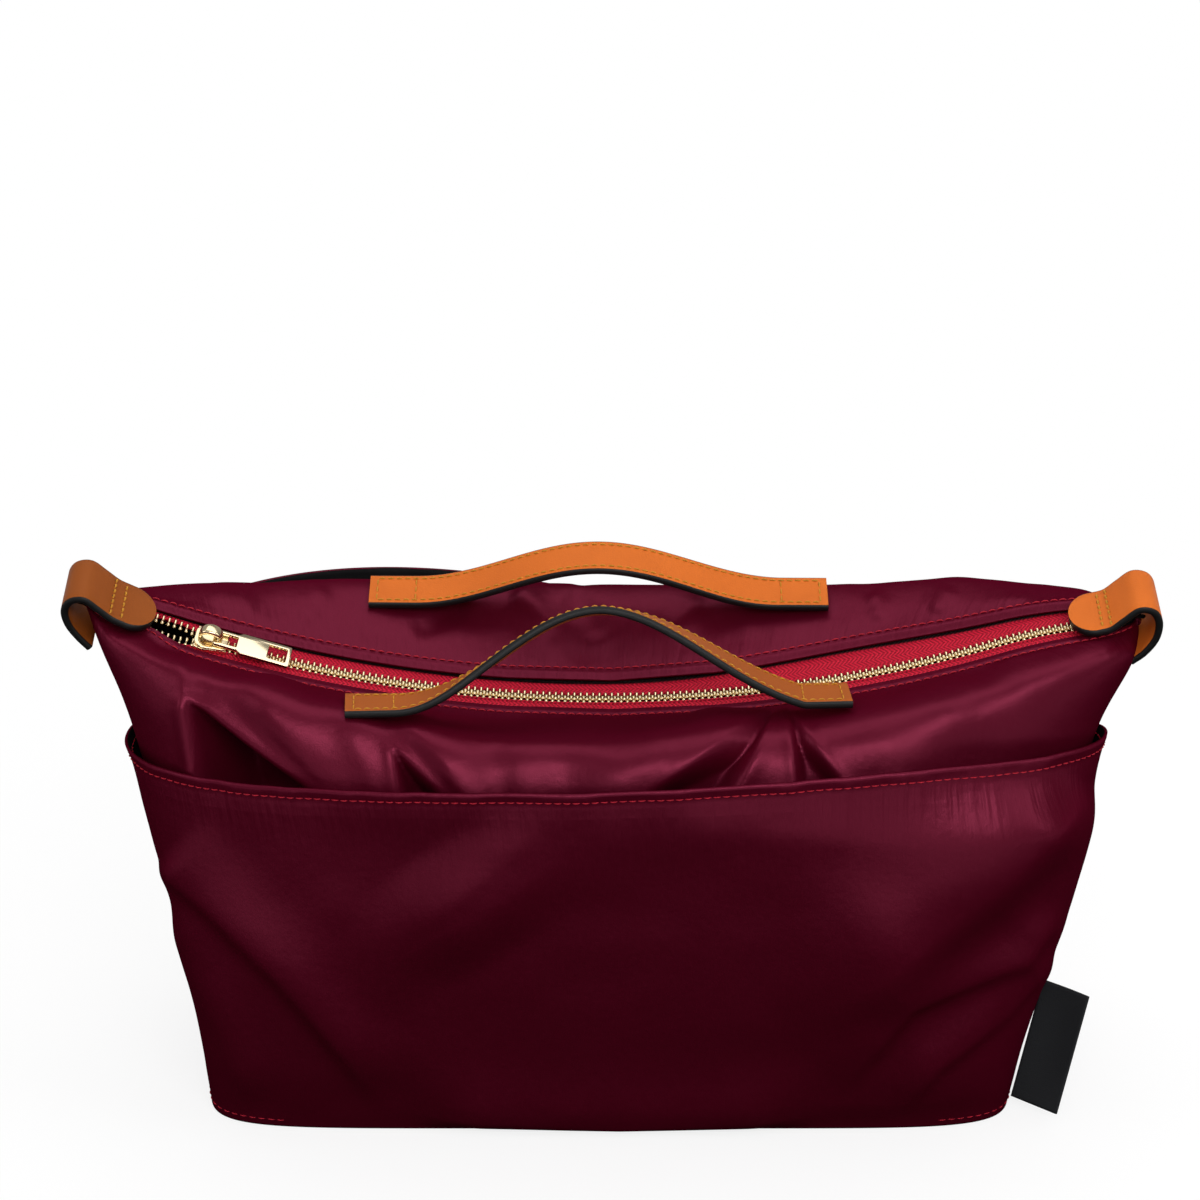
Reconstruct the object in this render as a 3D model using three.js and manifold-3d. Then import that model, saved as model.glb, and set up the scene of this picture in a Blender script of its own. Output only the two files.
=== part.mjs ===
import * as THREE from "three";
import { mergeVertices } from "three/addons/utils/BufferGeometryUtils.js";
import Module from "manifold-3d";

// A soft zipped bag that stands inside a larger bag and keeps its contents in order.
// Sizes are in millimetres. X runs along the bag, Y from its front to its back and Z up.

// Cloth layers, from the outer nylon to the lining.
const nylonThickness = 1;
const tapeThickness = 0.6;
const liningThickness = 0.8;
const layerGap = 0.3;
const liningGap = 0.9;
const seamGap = 0.3;

// Outline of the body at each level: the seam of the base, low on the wall, the waist, the pocket mouths,
// the ridge, the topstitching beside the zip and the fold edge beside the zip.
const bagHalfLength = 177.2;
const bagHalfDepth = 58.5;
const topstitchDepth = 16.5;
const foldDepth = 10.3;
const halfLengthShares = [0.7844, 0.8059, 0.8719, 0.9199, 0.9932, 1, 1];
const levelShifts = [-0.7, 0.8, 3.5, 1.3, 1.2, 0, 0];
const frontDepthShares = [0.8718, 0.9402, 1, 0.9573, 0.7863];
const backDepthShares = [0.8718, 0.9402, 0.9915, 0.906, 0.7863];
const frontHeightShares = [0.1996, 0.5702, 0.9836, 1.0477];
const backHeightShares = [0.1996, 0.5702, 1.0335, 1.1475];
const endHeightShares = [0.1996, 0.556, 0.9337];
const ridgeEndDrop = 5.5;
const ridgeCornerDrop = 9;
const ridgeCornerShare = 6;
const roundnessShares = [7.8, 5.8, 3.8, 2.7, 2.1, 8, 8];
// How far a deeper layer moves inwards, and how far it moves down, at each level.
const depthInsetShares = [1, 1, 1, 1, 1, 0, 0];
const heightInsetShares = [0, 0, 0, 0, 1, 1, 1];

// The zip lies on a hollow arc that is a little off the middle. Its sag is measured at the bag's ends.
const zipShift = -2.5;
const zipSag = 38.21;
const zipLowHeight = 140.3;
const tapeFlatMargin = 0.4;
const tapeOuterHalfWidth = 12.5;
const tapeSlopeShare = 0.26;
const tapeEndInset = 11.5;

// Teeth of the zip. Each row of teeth stands on the corded edge of its tape.
const toothPitch = 2.13;
const toothWidth = 0.86;
const toothReach = 0.75;
const toothHeight = 2.4;
const cordInner = 2;
const cordOuter = 2.9;
const mouthHalfOpening = 3;
const mouthRunIn = 17;
const mouthStart = 4;
const mouthCloseRun = 15;
const stopLength = 3;
const stopHeight = 3;

// Slider of the zip. Its open end points to the left, where the rows of teeth are apart.
const sliderFromEnd = 44.4;
const sliderHalfLength = 5.7;
const sliderOpenHalfWidth = 5.6;
const sliderClosedHalfWidth = 3.9;
const sliderFlange = 0.6;
const sliderInnerHeight = 3;
const sliderPlate = 0.9;
const sliderSlot = 1;
const sliderPostRadius = 0.5;
const sliderPostInset = 1.2;
const crownHalfLength = 3.8;
const crownHeight = 4;
const crownWidth = 2.6;
const crownWall = 1.2;
const crownRoof = 1.7;
const crownGap = 0.1;
const pullLength = 26.6;
const pullWidth = 9;
const pullNeckWidth = 6.8;
const pullNeckLength = 8.6;
const pullThickness = 1.3;
const pullPivotShift = 1.2;
const pullRim = 1.4;
const pullSmallWindow = 6;
const pullLargeWindow = 6.4;
const pullCorner = 0.9;
const pullClearance = 0.45;

// Handle straps, with the same leather as the end loops.
const leatherThickness = 2.6;
const handleWidth = 15;
const handleShift = -4.5;
const handlePatch = 16;
const handleClearance = 0.6;
const handles = {
  front: { side: -1, halfSpan: 67, leftDepth: 36.5, rightDepth: 25, rise: 29.5, leanAngle: 0.49, cut: 42 },
  back: { side: 1, halfSpan: 63.5, leftDepth: 33, rightDepth: 33, rise: 16.5, leanAngle: -0.3, cut: 36 },
};

// End loops. Each strap lies on the zip end, turns round an eye beyond it and comes back under it.
const loopWidth = 20.5;
const loopTongue = 27.5;
const loopTipRound = 9;
const loopLift = 4.6;
// Places of the strap past the end of the zip, and their heights above the tongue.
const loopPlaces = [-18.5, -10.5, -4, 1.5, 5.2, 5.9, 4.1, 0.8, -2.4];
const loops = {
  left: { end: -1, heights: [0, 0.9, 3.6, 5.6, 2.6, -2, -7.2, -12, -16] },
  right: { end: 1, heights: [0, 0.6, 2.4, 3.8, 1.2, -3.2, -8.2, -12.4, -16] },
};

// Slip pockets on the outside and inside, and the stiff base.
const pocketGapAtBase = 0.6;
const frontPocketGape = 7;
const backPocketGape = 9;
const backPocketLift = 15;
const frontPocketLift = 10;
const innerPocketThickness = 0.8;
const innerPocketGape = 7.5;
const boardThickness = 2;
const boardInset = 3;

// Folded label in the seam at the right of the front.
const tagWidth = 18;
const tagHeight = 40.5;
const tagThickness = 1.2;
const tagFoot = 4.5;
const tagFootDepthShare = 0.658;
const tagTopDepthShare = 0.4615;
const tagTurnAngle = 0.65;
const tagClearance = 1.1;

// Shapes of the mouths and hems, as shares of a pocket's width or exponents on them.
const frontMouthRoundShare = 0.8;
const backMouthRoundShare = 1.2;
const backMouthPeakShare = 0.62;
const backHemShares = [0.13, 0.52];
const backHemRoundShare = 0.7;
const innerMouthRoundShare = 0.6;
const mouthGrowthShare = 2;
const hemGrowthShare = 3;
const hemLowShare = 0.25;
const hemRiseShares = [0.45, 0.8];
const hemEndShare = 8;

const seatStepShare = 0.02;
const strapTurnShare = 0.8;
const tongueShares = [0.03, 0.15, 0.35, 0.65];
const flangeTipShares = [0.33, 1.3];
const columns = 20;
const searchSteps = 24;
const handleEndSteps = 8;
const gripSteps = 18;
const loopSteps = 26;
const roundSides = 8;
const roundSteps = 5;
const teethPerTapeStep = 7;
const wallRowShares = [0, 1, 2, 2.5, 3, 3.5, 4, 4.3, 4.65, 5, 6];
const liningRowShares = [0, 1, 2, 2.5, 3, 3.5, 4, 4.3, 4.65, 5, 5.6];
const pocketRowShares = [0, 0.5, 1, 1.5, 2, 2.5, 3];
const innerPocketRowShares = [0.4, 1, 2];
const innerPocketColumns = [4, 16];

const halfLengths = halfLengthShares.map((share) => share * bagHalfLength);
const seamDepths = [topstitchDepth, foldDepth];
const frontDepths = [...frontDepthShares.map((share) => share * bagHalfDepth), ...seamDepths];
const backDepths = [...backDepthShares.map((share) => share * bagHalfDepth), ...seamDepths];
const frontHeights = [layerGap, ...frontHeightShares.map((share) => share * zipLowHeight)];
const backHeights = [layerGap, ...backHeightShares.map((share) => share * zipLowHeight)];
const endHeights = [layerGap, ...endHeightShares.map((share) => share * zipLowHeight)];
const zipRadius = (bagHalfLength ** 2 + zipSag ** 2) / (2 * zipSag);
const zipCentreHeight = zipLowHeight + zipRadius;
const tapeFlatHalfWidth = cordOuter + layerGap + mouthHalfOpening + tapeFlatMargin;
const lipRise = tapeThickness / 2 + layerGap + nylonThickness;
const liningInset = nylonThickness + layerGap + tapeThickness + liningGap;
const leftZipEnd = -zipRadius * Math.asin((bagHalfLength + zipShift) / zipRadius);
const rightZipEnd = zipRadius * Math.asin((bagHalfLength - zipShift) / zipRadius);
const sliderPlace = leftZipEnd + sliderFromEnd;
const tapeStart = leftZipEnd + tapeEndInset;
const tapeEnd = rightZipEnd - tapeEndInset;
const chainStart = tapeStart + stopLength + layerGap;
const toothCount = Math.floor((tapeEnd - stopLength - layerGap - chainStart) / toothPitch) - 1;
const baseTop = nylonThickness + layerGap + boardThickness + layerGap + liningThickness;

const nylon = new THREE.MeshStandardMaterial({ color: 0x4a0f20, roughness: 0.42, metalness: 0 });
const lining = new THREE.MeshStandardMaterial({ color: 0x0b0b0d, roughness: 0.7, metalness: 0 });
const board = new THREE.MeshStandardMaterial({ color: 0x2b2b2e, roughness: 0.9, metalness: 0 });
const tape = new THREE.MeshStandardMaterial({ color: 0xb01030, roughness: 0.75, metalness: 0 });
const gold = new THREE.MeshStandardMaterial({ color: 0xd9bd82, roughness: 0.22, metalness: 1 });
const leather = new THREE.MeshStandardMaterial({ color: 0xc8692a, roughness: 0.5, metalness: 0 });
const label = new THREE.MeshStandardMaterial({ color: 0x111114, roughness: 0.8, metalness: 0 });

const wasm = await Module();
wasm.setup();

const part = new THREE.Group();

function addPiece(name, geometry, material, parent = part) {
  const mesh = new THREE.Mesh(geometry, material);
  mesh.name = name;
  parent.add(mesh);
  return mesh;
}

function smoothStep(value) {
  const held = Math.min(1, Math.max(0, value));
  return held * held * (3 - 2 * held);
}

// The zip's own coordinates: along its arc, across it and up from it.
function zipPoint(along, across, up) {
  const angle = along / zipRadius;
  const x = zipShift + (zipRadius - up) * Math.sin(angle);
  return new THREE.Vector3(x, across, zipCentreHeight - (zipRadius - up) * Math.cos(angle));
}

function zipHeight(x) {
  return zipCentreHeight - Math.sqrt(zipRadius ** 2 - (x - zipShift) ** 2);
}

function tapeRise(across) {
  return tapeSlopeShare * Math.max(0, Math.abs(across) - tapeFlatHalfWidth);
}

// How far each row of teeth stands aside, left of the slider.
function rowOffset(along) {
  const opened = smoothStep((sliderPlace + mouthStart - along) / mouthRunIn);
  const closed = smoothStep((along - tapeStart) / mouthCloseRun);
  return mouthHalfOpening * opened * closed;
}

// Half of the body's outline at one level, from the left seam to the right one.
class LevelArc extends THREE.Curve {
  constructor(side, level, inset) {
    super();
    const depths = side < 0 ? frontDepths : backDepths;
    const heights = side < 0 ? frontHeights : backHeights;
    this.side = side;
    this.shift = levelShifts[level];
    this.halfLength = halfLengths[level] - inset;
    this.depth = depths[level] - inset * depthInsetShares[level];
    this.drop = inset * heightInsetShares[level];
    this.middleHeight = heights[level];
    this.endHeight = endHeights[level] ?? zipHeight(this.shift + halfLengths[level]) - ridgeEndDrop;
    this.cornerDrop = endHeights[level] === undefined ? ridgeCornerDrop : 0;
    this.power = 2 / roundnessShares[level];
  }

  height(x, y) {
    if (this.middleHeight === undefined) return zipHeight(x) + tapeRise(y) + lipRise - this.drop;
    const share = ((x - this.shift) / this.halfLength) ** 2;
    const cornerDrop = this.cornerDrop * share ** ridgeCornerShare;
    return this.middleHeight + (this.endHeight - this.middleHeight) * share - cornerDrop - this.drop;
  }

  getPoint(share, target = new THREE.Vector3()) {
    const angle = Math.PI * (1 - share);
    const cosine = Math.cos(angle);
    const x = Math.sign(cosine) * Math.abs(cosine) ** this.power * this.halfLength + this.shift;
    const swell = Math.max(0, Math.sin(angle)) ** this.power;
    const y = this.side * (seamGap / 2 + swell * (this.depth - seamGap / 2));
    return target.set(x, y, this.height(x, y));
  }
}

const arcCache = new Map();

function levelArcs(side, inset) {
  const key = side + " " + inset;
  if (!arcCache.has(key)) {
    arcCache.set(key, halfLengths.map((_, level) => new LevelArc(side, level, inset)));
  }
  return arcCache.get(key);
}

// A point of the body's wall: share runs from seam to seam, row from level to level.
function wallPoint(side, share, row, inset) {
  const points = levelArcs(side, inset).map((arc) => arc.getPointAt(share));
  const curve = new THREE.CatmullRomCurve3(points, false, "centripetal");
  return curve.getPoint(row / (halfLengths.length - 1));
}

// A layer of the wall: outset and lift are functions of the share and the row, lowest holds the foot.
function wallGrid({ side, rows, inset, outset = () => 0, lift = () => 0, lowest = 0, span = [0, columns] }) {
  return rows.map((row) =>
    Array.from({ length: span[1] - span[0] + 1 }, (_, column) => {
      const share = (span[0] + column) / columns;
      const outer = wallPoint(side, share, row, 0);
      const inner = wallPoint(side, share, row, nylonThickness);
      const depth = inset - outset(share, row);
      const point = outer.clone().lerp(inner, depth / nylonThickness);
      point.z = Math.max(lowest, point.z + lift(share, row));
      return point;
    }),
  );
}

// A closed solid between two grids of points of one size, with its four rims.
function solidBetween(outer, inner, side) {
  const rowCount = outer.length;
  const width = outer[0].length;
  const positions = [...outer.flat(), ...inner.flat()].flatMap((point) => point.toArray());
  const index = [];
  const outerAt = (row, column) => row * width + column;
  const innerAt = (row, column) => rowCount * width + row * width + column;
  const quad = (a, b, c, d) => {
    if (side < 0) index.push(a, b, c, a, c, d);
    else index.push(a, c, b, a, d, c);
  };
  for (let row = 0; row + 1 < rowCount; row++) {
    for (let column = 0; column + 1 < width; column++) {
      const [right, above] = [column + 1, row + 1];
      quad(outerAt(row, column), outerAt(row, right), outerAt(above, right), outerAt(above, column));
      quad(innerAt(row, column), innerAt(above, column), innerAt(above, right), innerAt(row, right));
    }
    const [above, last] = [row + 1, width - 1];
    quad(innerAt(row, 0), outerAt(row, 0), outerAt(above, 0), innerAt(above, 0));
    quad(outerAt(row, last), innerAt(row, last), innerAt(above, last), outerAt(above, last));
  }
  const top = rowCount - 1;
  for (let column = 0; column + 1 < width; column++) {
    const right = column + 1;
    quad(innerAt(0, column), innerAt(0, right), outerAt(0, right), outerAt(0, column));
    quad(outerAt(top, column), outerAt(top, right), innerAt(top, right), innerAt(top, column));
  }
  const geometry = new THREE.BufferGeometry();
  geometry.setAttribute("position", new THREE.Float32BufferAttribute(positions, 3));
  geometry.setIndex(index);
  geometry.computeVertexNormals();
  return geometry;
}

function wallLayer({ inset, thickness, side, ...rest }) {
  const outer = wallGrid({ side, inset, ...rest });
  const inner = wallGrid({ side, inset: inset + thickness, ...rest });
  return solidBetween(outer, inner, side);
}

// Flat plate with the outline of the base, moved inwards.
function basePlate(inset, thickness, height) {
  const outline = [-1, 1].flatMap((side) => {
    const points = levelArcs(side, inset)[0].getSpacedPoints(columns);
    return side < 0 ? points : points.reverse();
  });
  const shape = new THREE.Shape(outline.map((point) => new THREE.Vector2(point.x, point.y)));
  return new THREE.ExtrudeGeometry(shape, { depth: thickness, bevelEnabled: false }).translate(0, 0, height);
}

function addBase() {
  const edge = nylonThickness + layerGap;
  const boardHeight = nylonThickness + layerGap;
  const liningHeight = boardHeight + boardThickness + layerGap;
  addPiece("base_panel", basePlate(edge, nylonThickness, 0), nylon);
  addPiece("base_board", basePlate(edge + boardInset, boardThickness, boardHeight), board);
  addPiece("base_lining", basePlate(edge, liningThickness, liningHeight), lining);
}

function addWalls(name, side) {
  const panel = { side, rows: wallRowShares, inset: 0, thickness: nylonThickness };
  addPiece(name + "_panel", wallLayer(panel), nylon);
  const inner = { side, rows: liningRowShares, inset: liningInset, thickness: liningThickness };
  addPiece(name + "_lining", wallLayer({ ...inner, lowest: baseTop + layerGap }), lining);
}

// The mouths of the pockets stand away from the wall, the back one most at its left.
function frontGape(share, row) {
  const mouthShare = row / pocketRowShares.at(-1);
  return Math.sin(Math.PI * share) ** frontMouthRoundShare * mouthShare ** mouthGrowthShare;
}

// The front pocket's hem lies lowest at its middle and highest at its right.
function frontHemLift(share) {
  const [start, end] = hemRiseShares;
  const rightward = hemLowShare + (1 - hemLowShare) * smoothStep((share - start) / (end - start));
  return rightward * (1 - Math.abs(2 * share - 1) ** hemEndShare);
}

function backGape(share, row) {
  const mouthShare = row / pocketRowShares.at(-1);
  return Math.sin(Math.PI * share ** backMouthPeakShare) ** backMouthRoundShare * mouthShare ** mouthGrowthShare;
}

// The back pocket's hem rises at its left only.
function backHemLift(share) {
  const [start, end] = backHemShares;
  const place = Math.min(1, Math.max(0, (share - start) / (end - start)));
  return Math.sin(Math.PI * place) ** backHemRoundShare;
}

function addPockets() {
  const shared = { rows: pocketRowShares, thickness: nylonThickness, inset: -pocketGapAtBase - nylonThickness };
  const front = { side: -1, outset: (share, row) => frontPocketGape * frontGape(share, row) };
  front.lift = (share, row) => frontPocketLift * frontHemLift(share) * (row / pocketRowShares.at(-1)) ** hemGrowthShare;
  const back = { side: 1, outset: (share, row) => backPocketGape * backGape(share, row) };
  back.lift = (share, row) => backPocketLift * backHemLift(share) * (row / pocketRowShares.at(-1)) ** hemGrowthShare;
  addPiece("front_pocket", wallLayer({ ...shared, ...front }), nylon);
  addPiece("back_pocket", wallLayer({ ...shared, ...back }), nylon);
}

function addInnerPocket(name, side) {
  const first = innerPocketRowShares[0];
  const last = innerPocketRowShares.at(-1);
  const inset = liningInset + liningThickness + liningGap + layerGap;
  const [left, right] = innerPocketColumns;
  const gape = (share, row) => {
    const across = Math.sin((Math.PI * (share * columns - left)) / (right - left));
    return -innerPocketGape * Math.max(0, across) ** innerMouthRoundShare * ((row - first) / (last - first));
  };
  const pocket = { side, rows: innerPocketRowShares, inset, outset: gape, span: innerPocketColumns };
  addPiece(name, wallLayer({ ...pocket, thickness: innerPocketThickness }), lining);
}

// Places along the tape: close together where the rows of teeth stand apart, wider beyond.
function tapeStations() {
  const stations = [tapeStart];
  while (stations.at(-1) < tapeEnd) {
    const near = stations.at(-1) < sliderPlace + sliderHalfLength + mouthStart;
    stations.push(Math.min(tapeEnd, stations.at(-1) + toothPitch * (near ? 1 : teethPerTapeStep)));
  }
  return stations;
}

function addTape(name, side) {
  const stations = tapeStations();
  const layer = (up) => {
    const edge = (along) => cordOuter + layerGap + rowOffset(along);
    const places = [tapeOuterHalfWidth, tapeFlatHalfWidth, null];
    return places.map((place) =>
      stations.map((along) => {
        const across = place ?? edge(along);
        return zipPoint(along, side * across, tapeRise(across) + up);
      }),
    );
  };
  addPiece(name, solidBetween(layer(tapeThickness / 2), layer(-tapeThickness / 2), side), tape);
}

// One row of teeth on its corded edge: each tooth is a block that reaches past the middle of the zip.
function addTeeth(name, side) {
  const start = chainStart + (side < 0 ? 0 : toothPitch / 2);
  const positions = [];
  const index = [];
  const half = toothHeight / 2;
  const vertex = (along, across) => {
    const shifted = side * (across + rowOffset(along));
    for (const up of [half, -half]) positions.push(...zipPoint(along, shifted, up).toArray());
    return positions.length / 3 - 2;
  };
  const triangle = (a, b, c) => (side < 0 ? index.push(a, b, c) : index.push(a, c, b));
  const cap = (...corners) => {
    for (let i = 1; i + 1 < corners.length; i++) {
      triangle(corners[0], corners[i], corners[i + 1]);
      triangle(corners[0] + 1, corners[i + 1] + 1, corners[i] + 1);
    }
  };
  const edge = (a, b) => {
    triangle(a, a + 1, b + 1);
    triangle(a, b + 1, b);
  };
  let outer = vertex(start, cordOuter);
  let root = vertex(start, cordInner);
  edge(root, outer);
  for (let tooth = 0; tooth < toothCount; tooth++) {
    const along = start + tooth * toothPitch;
    const rootEnd = vertex(along + toothWidth, cordInner);
    const tip = vertex(along, -toothReach);
    const tipEnd = vertex(along + toothWidth, -toothReach);
    const outerEnd = vertex(along + toothPitch, cordOuter);
    const rootNext = vertex(along + toothPitch, cordInner);
    cap(outer, outerEnd, rootNext, rootEnd, root);
    cap(root, rootEnd, tipEnd, tip);
    edge(outer, outerEnd);
    edge(tip, root);
    edge(tipEnd, tip);
    edge(rootEnd, tipEnd);
    edge(rootNext, rootEnd);
    outer = outerEnd;
    root = rootNext;
  }
  edge(outer, root);
  const geometry = new THREE.BufferGeometry();
  geometry.setAttribute("position", new THREE.Float32BufferAttribute(positions, 3));
  geometry.setIndex(index);
  geometry.computeVertexNormals();
  addPiece(name, geometry, gold);
}

// A group whose X runs along the zip and whose Z stands up from it.
function zipGroup(along) {
  const group = new THREE.Group();
  group.position.copy(zipPoint(along, 0, 0));
  group.rotation.y = -along / zipRadius;
  part.add(group);
  return group;
}

function addStops() {
  const width = cordOuter - layerGap;
  for (const [name, side] of [["front_top_stop", -1], ["back_top_stop", 1]]) {
    const place = tapeStart + stopLength / 2;
    const stop = new THREE.BoxGeometry(stopLength, width, stopHeight);
    stop.translate(0, side * (layerGap + width / 2 + rowOffset(place)), 0);
    addPiece(name, stop, gold, zipGroup(place));
  }
  const place = chainStart + (toothCount + 0.5) * toothPitch + layerGap + stopLength / 2;
  addPiece("bottom_stop", new THREE.BoxGeometry(stopLength, 2 * cordOuter, stopHeight), gold, zipGroup(place));
}

function extruded(shape, depth, height) {
  const settings = { depth, bevelEnabled: false, curveSegments: roundSteps };
  return new THREE.ExtrudeGeometry(shape, settings).translate(0, 0, height);
}

function toSolid(geometry) {
  const bare = new THREE.BufferGeometry().setAttribute("position", geometry.getAttribute("position"));
  const merged = mergeVertices(geometry.index ? bare.setIndex(geometry.index) : bare, 1e-4);
  const triVerts = new Uint32Array(merged.index.array);
  return new wasm.Manifold(new wasm.Mesh({ numProp: 3, vertProperties: merged.attributes.position.array, triVerts }));
}

function fromSolid(solid) {
  const mesh = solid.getMesh();
  const geometry = new THREE.BufferGeometry();
  geometry.setAttribute("position", new THREE.BufferAttribute(mesh.vertProperties, 3));
  geometry.setIndex(new THREE.BufferAttribute(mesh.triVerts, 1));
  geometry.computeVertexNormals();
  return geometry;
}

// Outline of the slider's plates: rounded at the closed end, with two shoulders at the open end.
function sliderOutline() {
  const shape = new THREE.Shape();
  const nose = sliderHalfLength;
  shape.moveTo(nose, -sliderClosedHalfWidth);
  shape.lineTo(nose, sliderClosedHalfWidth);
  shape.lineTo(-nose / 2, sliderOpenHalfWidth);
  shape.quadraticCurveTo(-nose, sliderOpenHalfWidth, -nose, sliderOpenHalfWidth / 2);
  shape.lineTo(-nose, -sliderOpenHalfWidth / 2);
  shape.quadraticCurveTo(-nose, -sliderOpenHalfWidth, -nose / 2, -sliderOpenHalfWidth);
  shape.closePath();
  return shape;
}

// The side flange of one plate, which holds the teeth in and leaves the tape a slot.
function flangeOutline(side) {
  const shape = new THREE.Shape();
  const nose = sliderHalfLength;
  const openPlace = -nose / 2;
  const points = [
    [nose, sliderClosedHalfWidth],
    [openPlace, sliderOpenHalfWidth],
    [-nose + sliderFlange, sliderOpenHalfWidth - sliderFlange * flangeTipShares[0]],
    [-nose + sliderFlange, sliderOpenHalfWidth - sliderFlange * flangeTipShares[1]],
    [openPlace, sliderOpenHalfWidth - sliderFlange],
    [nose, sliderClosedHalfWidth - sliderFlange],
  ];
  shape.setFromPoints(points.map(([x, y]) => new THREE.Vector2(x, side * y)));
  return shape;
}

function sliderBody() {
  const inner = sliderInnerHeight / 2;
  const lip = sliderSlot / 2;
  const pieces = [
    extruded(sliderOutline(), sliderPlate, inner),
    extruded(sliderOutline(), sliderPlate, -inner - sliderPlate),
  ];
  for (const side of [-1, 1]) {
    pieces.push(extruded(flangeOutline(side), inner - lip + sliderPlate / 2, lip));
    pieces.push(extruded(flangeOutline(side), inner - lip + sliderPlate / 2, -inner - sliderPlate / 2));
  }
  const post = new THREE.CylinderGeometry(sliderPostRadius, sliderPostRadius, sliderInnerHeight + sliderPlate, roundSides);
  post.rotateX(Math.PI / 2).translate(-sliderHalfLength + sliderPostInset, 0, 0);
  pieces.push(post);
  return fromSolid(pieces.map(toSolid).reduce((joined, piece) => joined.add(piece)));
}

// The crown is an arch over the pull's bar.
function sliderCrown() {
  const shape = new THREE.Shape();
  shape.moveTo(-crownHalfLength, 0);
  shape.bezierCurveTo(-crownHalfLength, crownHeight, -crownWall, crownHeight, 0, crownHeight);
  shape.bezierCurveTo(crownWall, crownHeight, crownHalfLength, crownHeight, crownHalfLength, 0);
  const reach = crownHalfLength - crownWall;
  const roof = crownHeight - crownRoof;
  shape.lineTo(reach, 0);
  shape.quadraticCurveTo(reach, roof, 0, roof);
  shape.quadraticCurveTo(-reach, roof, -reach, 0);
  shape.closePath();
  return extruded(shape, crownWidth, -crownWidth / 2).rotateX(Math.PI / 2);
}

function roundedWindow(left, right, halfWidth) {
  const path = new THREE.Path();
  const corner = pullCorner / 2;
  path.moveTo(left + corner, -halfWidth);
  path.lineTo(right - corner, -halfWidth);
  path.lineTo(right, -halfWidth + corner);
  path.lineTo(right, halfWidth - corner);
  path.lineTo(right - corner, halfWidth);
  path.lineTo(left + corner, halfWidth);
  path.lineTo(left, halfWidth - corner);
  path.lineTo(left, -halfWidth + corner);
  path.closePath();
  return path;
}

// The pull is a plate with a neck. The bar before its small window turns under the crown.
function pullTab() {
  const bar = pullThickness / 2;
  const end = pullLength - bar;
  const neck = pullNeckLength - bar;
  const [narrow, wide] = [pullNeckWidth / 2, pullWidth / 2];
  const shape = new THREE.Shape();
  shape.moveTo(-bar, -narrow + pullCorner);
  shape.lineTo(-bar + pullCorner, -narrow);
  shape.lineTo(neck, -narrow);
  shape.lineTo(neck + pullCorner, -wide);
  shape.lineTo(end - pullCorner, -wide);
  shape.quadraticCurveTo(end, -wide, end, -wide + pullCorner);
  shape.lineTo(end, wide - pullCorner);
  shape.quadraticCurveTo(end, wide, end - pullCorner, wide);
  shape.lineTo(neck + pullCorner, wide);
  shape.lineTo(neck, narrow);
  shape.lineTo(-bar + pullCorner, narrow);
  shape.lineTo(-bar, narrow - pullCorner);
  shape.closePath();
  shape.holes.push(roundedWindow(bar, bar + pullSmallWindow, narrow - pullRim));
  shape.holes.push(roundedWindow(end - pullRim - pullLargeWindow, end - pullRim, wide - pullRim));
  return extruded(shape, pullThickness, -bar);
}

function addSlider() {
  const group = zipGroup(sliderPlace);
  const top = sliderInnerHeight / 2 + sliderPlate;
  addPiece("slider_body", sliderBody(), gold, group);
  addPiece("slider_crown", sliderCrown(), gold, group).position.z = top + crownGap;
  const pull = addPiece("pull_tab", pullTab(), gold, group);
  pull.position.set(pullPivotShift, 0, top + pullClearance + pullThickness / 2);
}

// A strap along a line of points, with the direction of its width and its width at each.
// Its sections stand square to the line, or to the direction that a station names.
function strap(stations, thickness) {
  const positions = [];
  const index = [];
  stations.forEach(({ point, across, width, section }, i) => {
    const before = stations[Math.max(0, i - 1)].point;
    const after = stations[Math.min(stations.length - 1, i + 1)].point;
    const forward = after.clone().sub(before).normalize();
    const side = across.clone().normalize();
    const up = forward.clone().cross(side).normalize();
    if (section) {
      const tilted = up.clone();
      up.addScaledVector(section, -up.dot(section)).normalize();
      up.divideScalar(up.dot(tilted));
    }
    for (const [wide, high] of [[-1, -1], [1, -1], [1, 1], [-1, 1]]) {
      const corner = point.clone().addScaledVector(side, (wide * width) / 2);
      positions.push(...corner.addScaledVector(up, (high * thickness) / 2).toArray());
    }
    if (!i) return;
    for (let k = 0; k < 4; k++) {
      const [a, b] = [4 * i - 4 + k, 4 * i - 4 + ((k + 1) % 4)];
      index.push(a, b, b + 4, a, b + 4, a + 4);
    }
  });
  const last = 4 * (stations.length - 1);
  index.push(0, 2, 1, 0, 3, 2, last, last + 1, last + 2, last, last + 2, last + 3);
  const geometry = new THREE.BufferGeometry();
  geometry.setAttribute("position", new THREE.Float32BufferAttribute(positions, 3));
  geometry.setIndex(index);
  geometry.computeVertexNormals();
  return geometry;
}

// The place on the wall above a given length and depth, found between the ridge and the topstitching.
function wallSeat(side, x, depth) {
  let [shareLow, shareHigh] = [0, 1];
  let [rowLow, rowHigh] = [halfLengths.length - 3, halfLengths.length - 2];
  for (let step = 0; step < searchSteps; step++) {
    const point = wallPoint(side, (shareLow + shareHigh) / 2, (rowLow + rowHigh) / 2, 0);
    if (point.x < x) shareLow = (shareLow + shareHigh) / 2;
    else shareHigh = (shareLow + shareHigh) / 2;
    if (Math.abs(point.y) > depth) rowLow = (rowLow + rowHigh) / 2;
    else rowHigh = (rowLow + rowHigh) / 2;
  }
  const point = wallPoint(side, shareLow, rowLow, 0);
  const nearby = wallPoint(side, shareLow, rowLow + seatStepShare, 0);
  return { point, across: nearby.sub(point).multiplyScalar(-side).normalize() };
}

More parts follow.
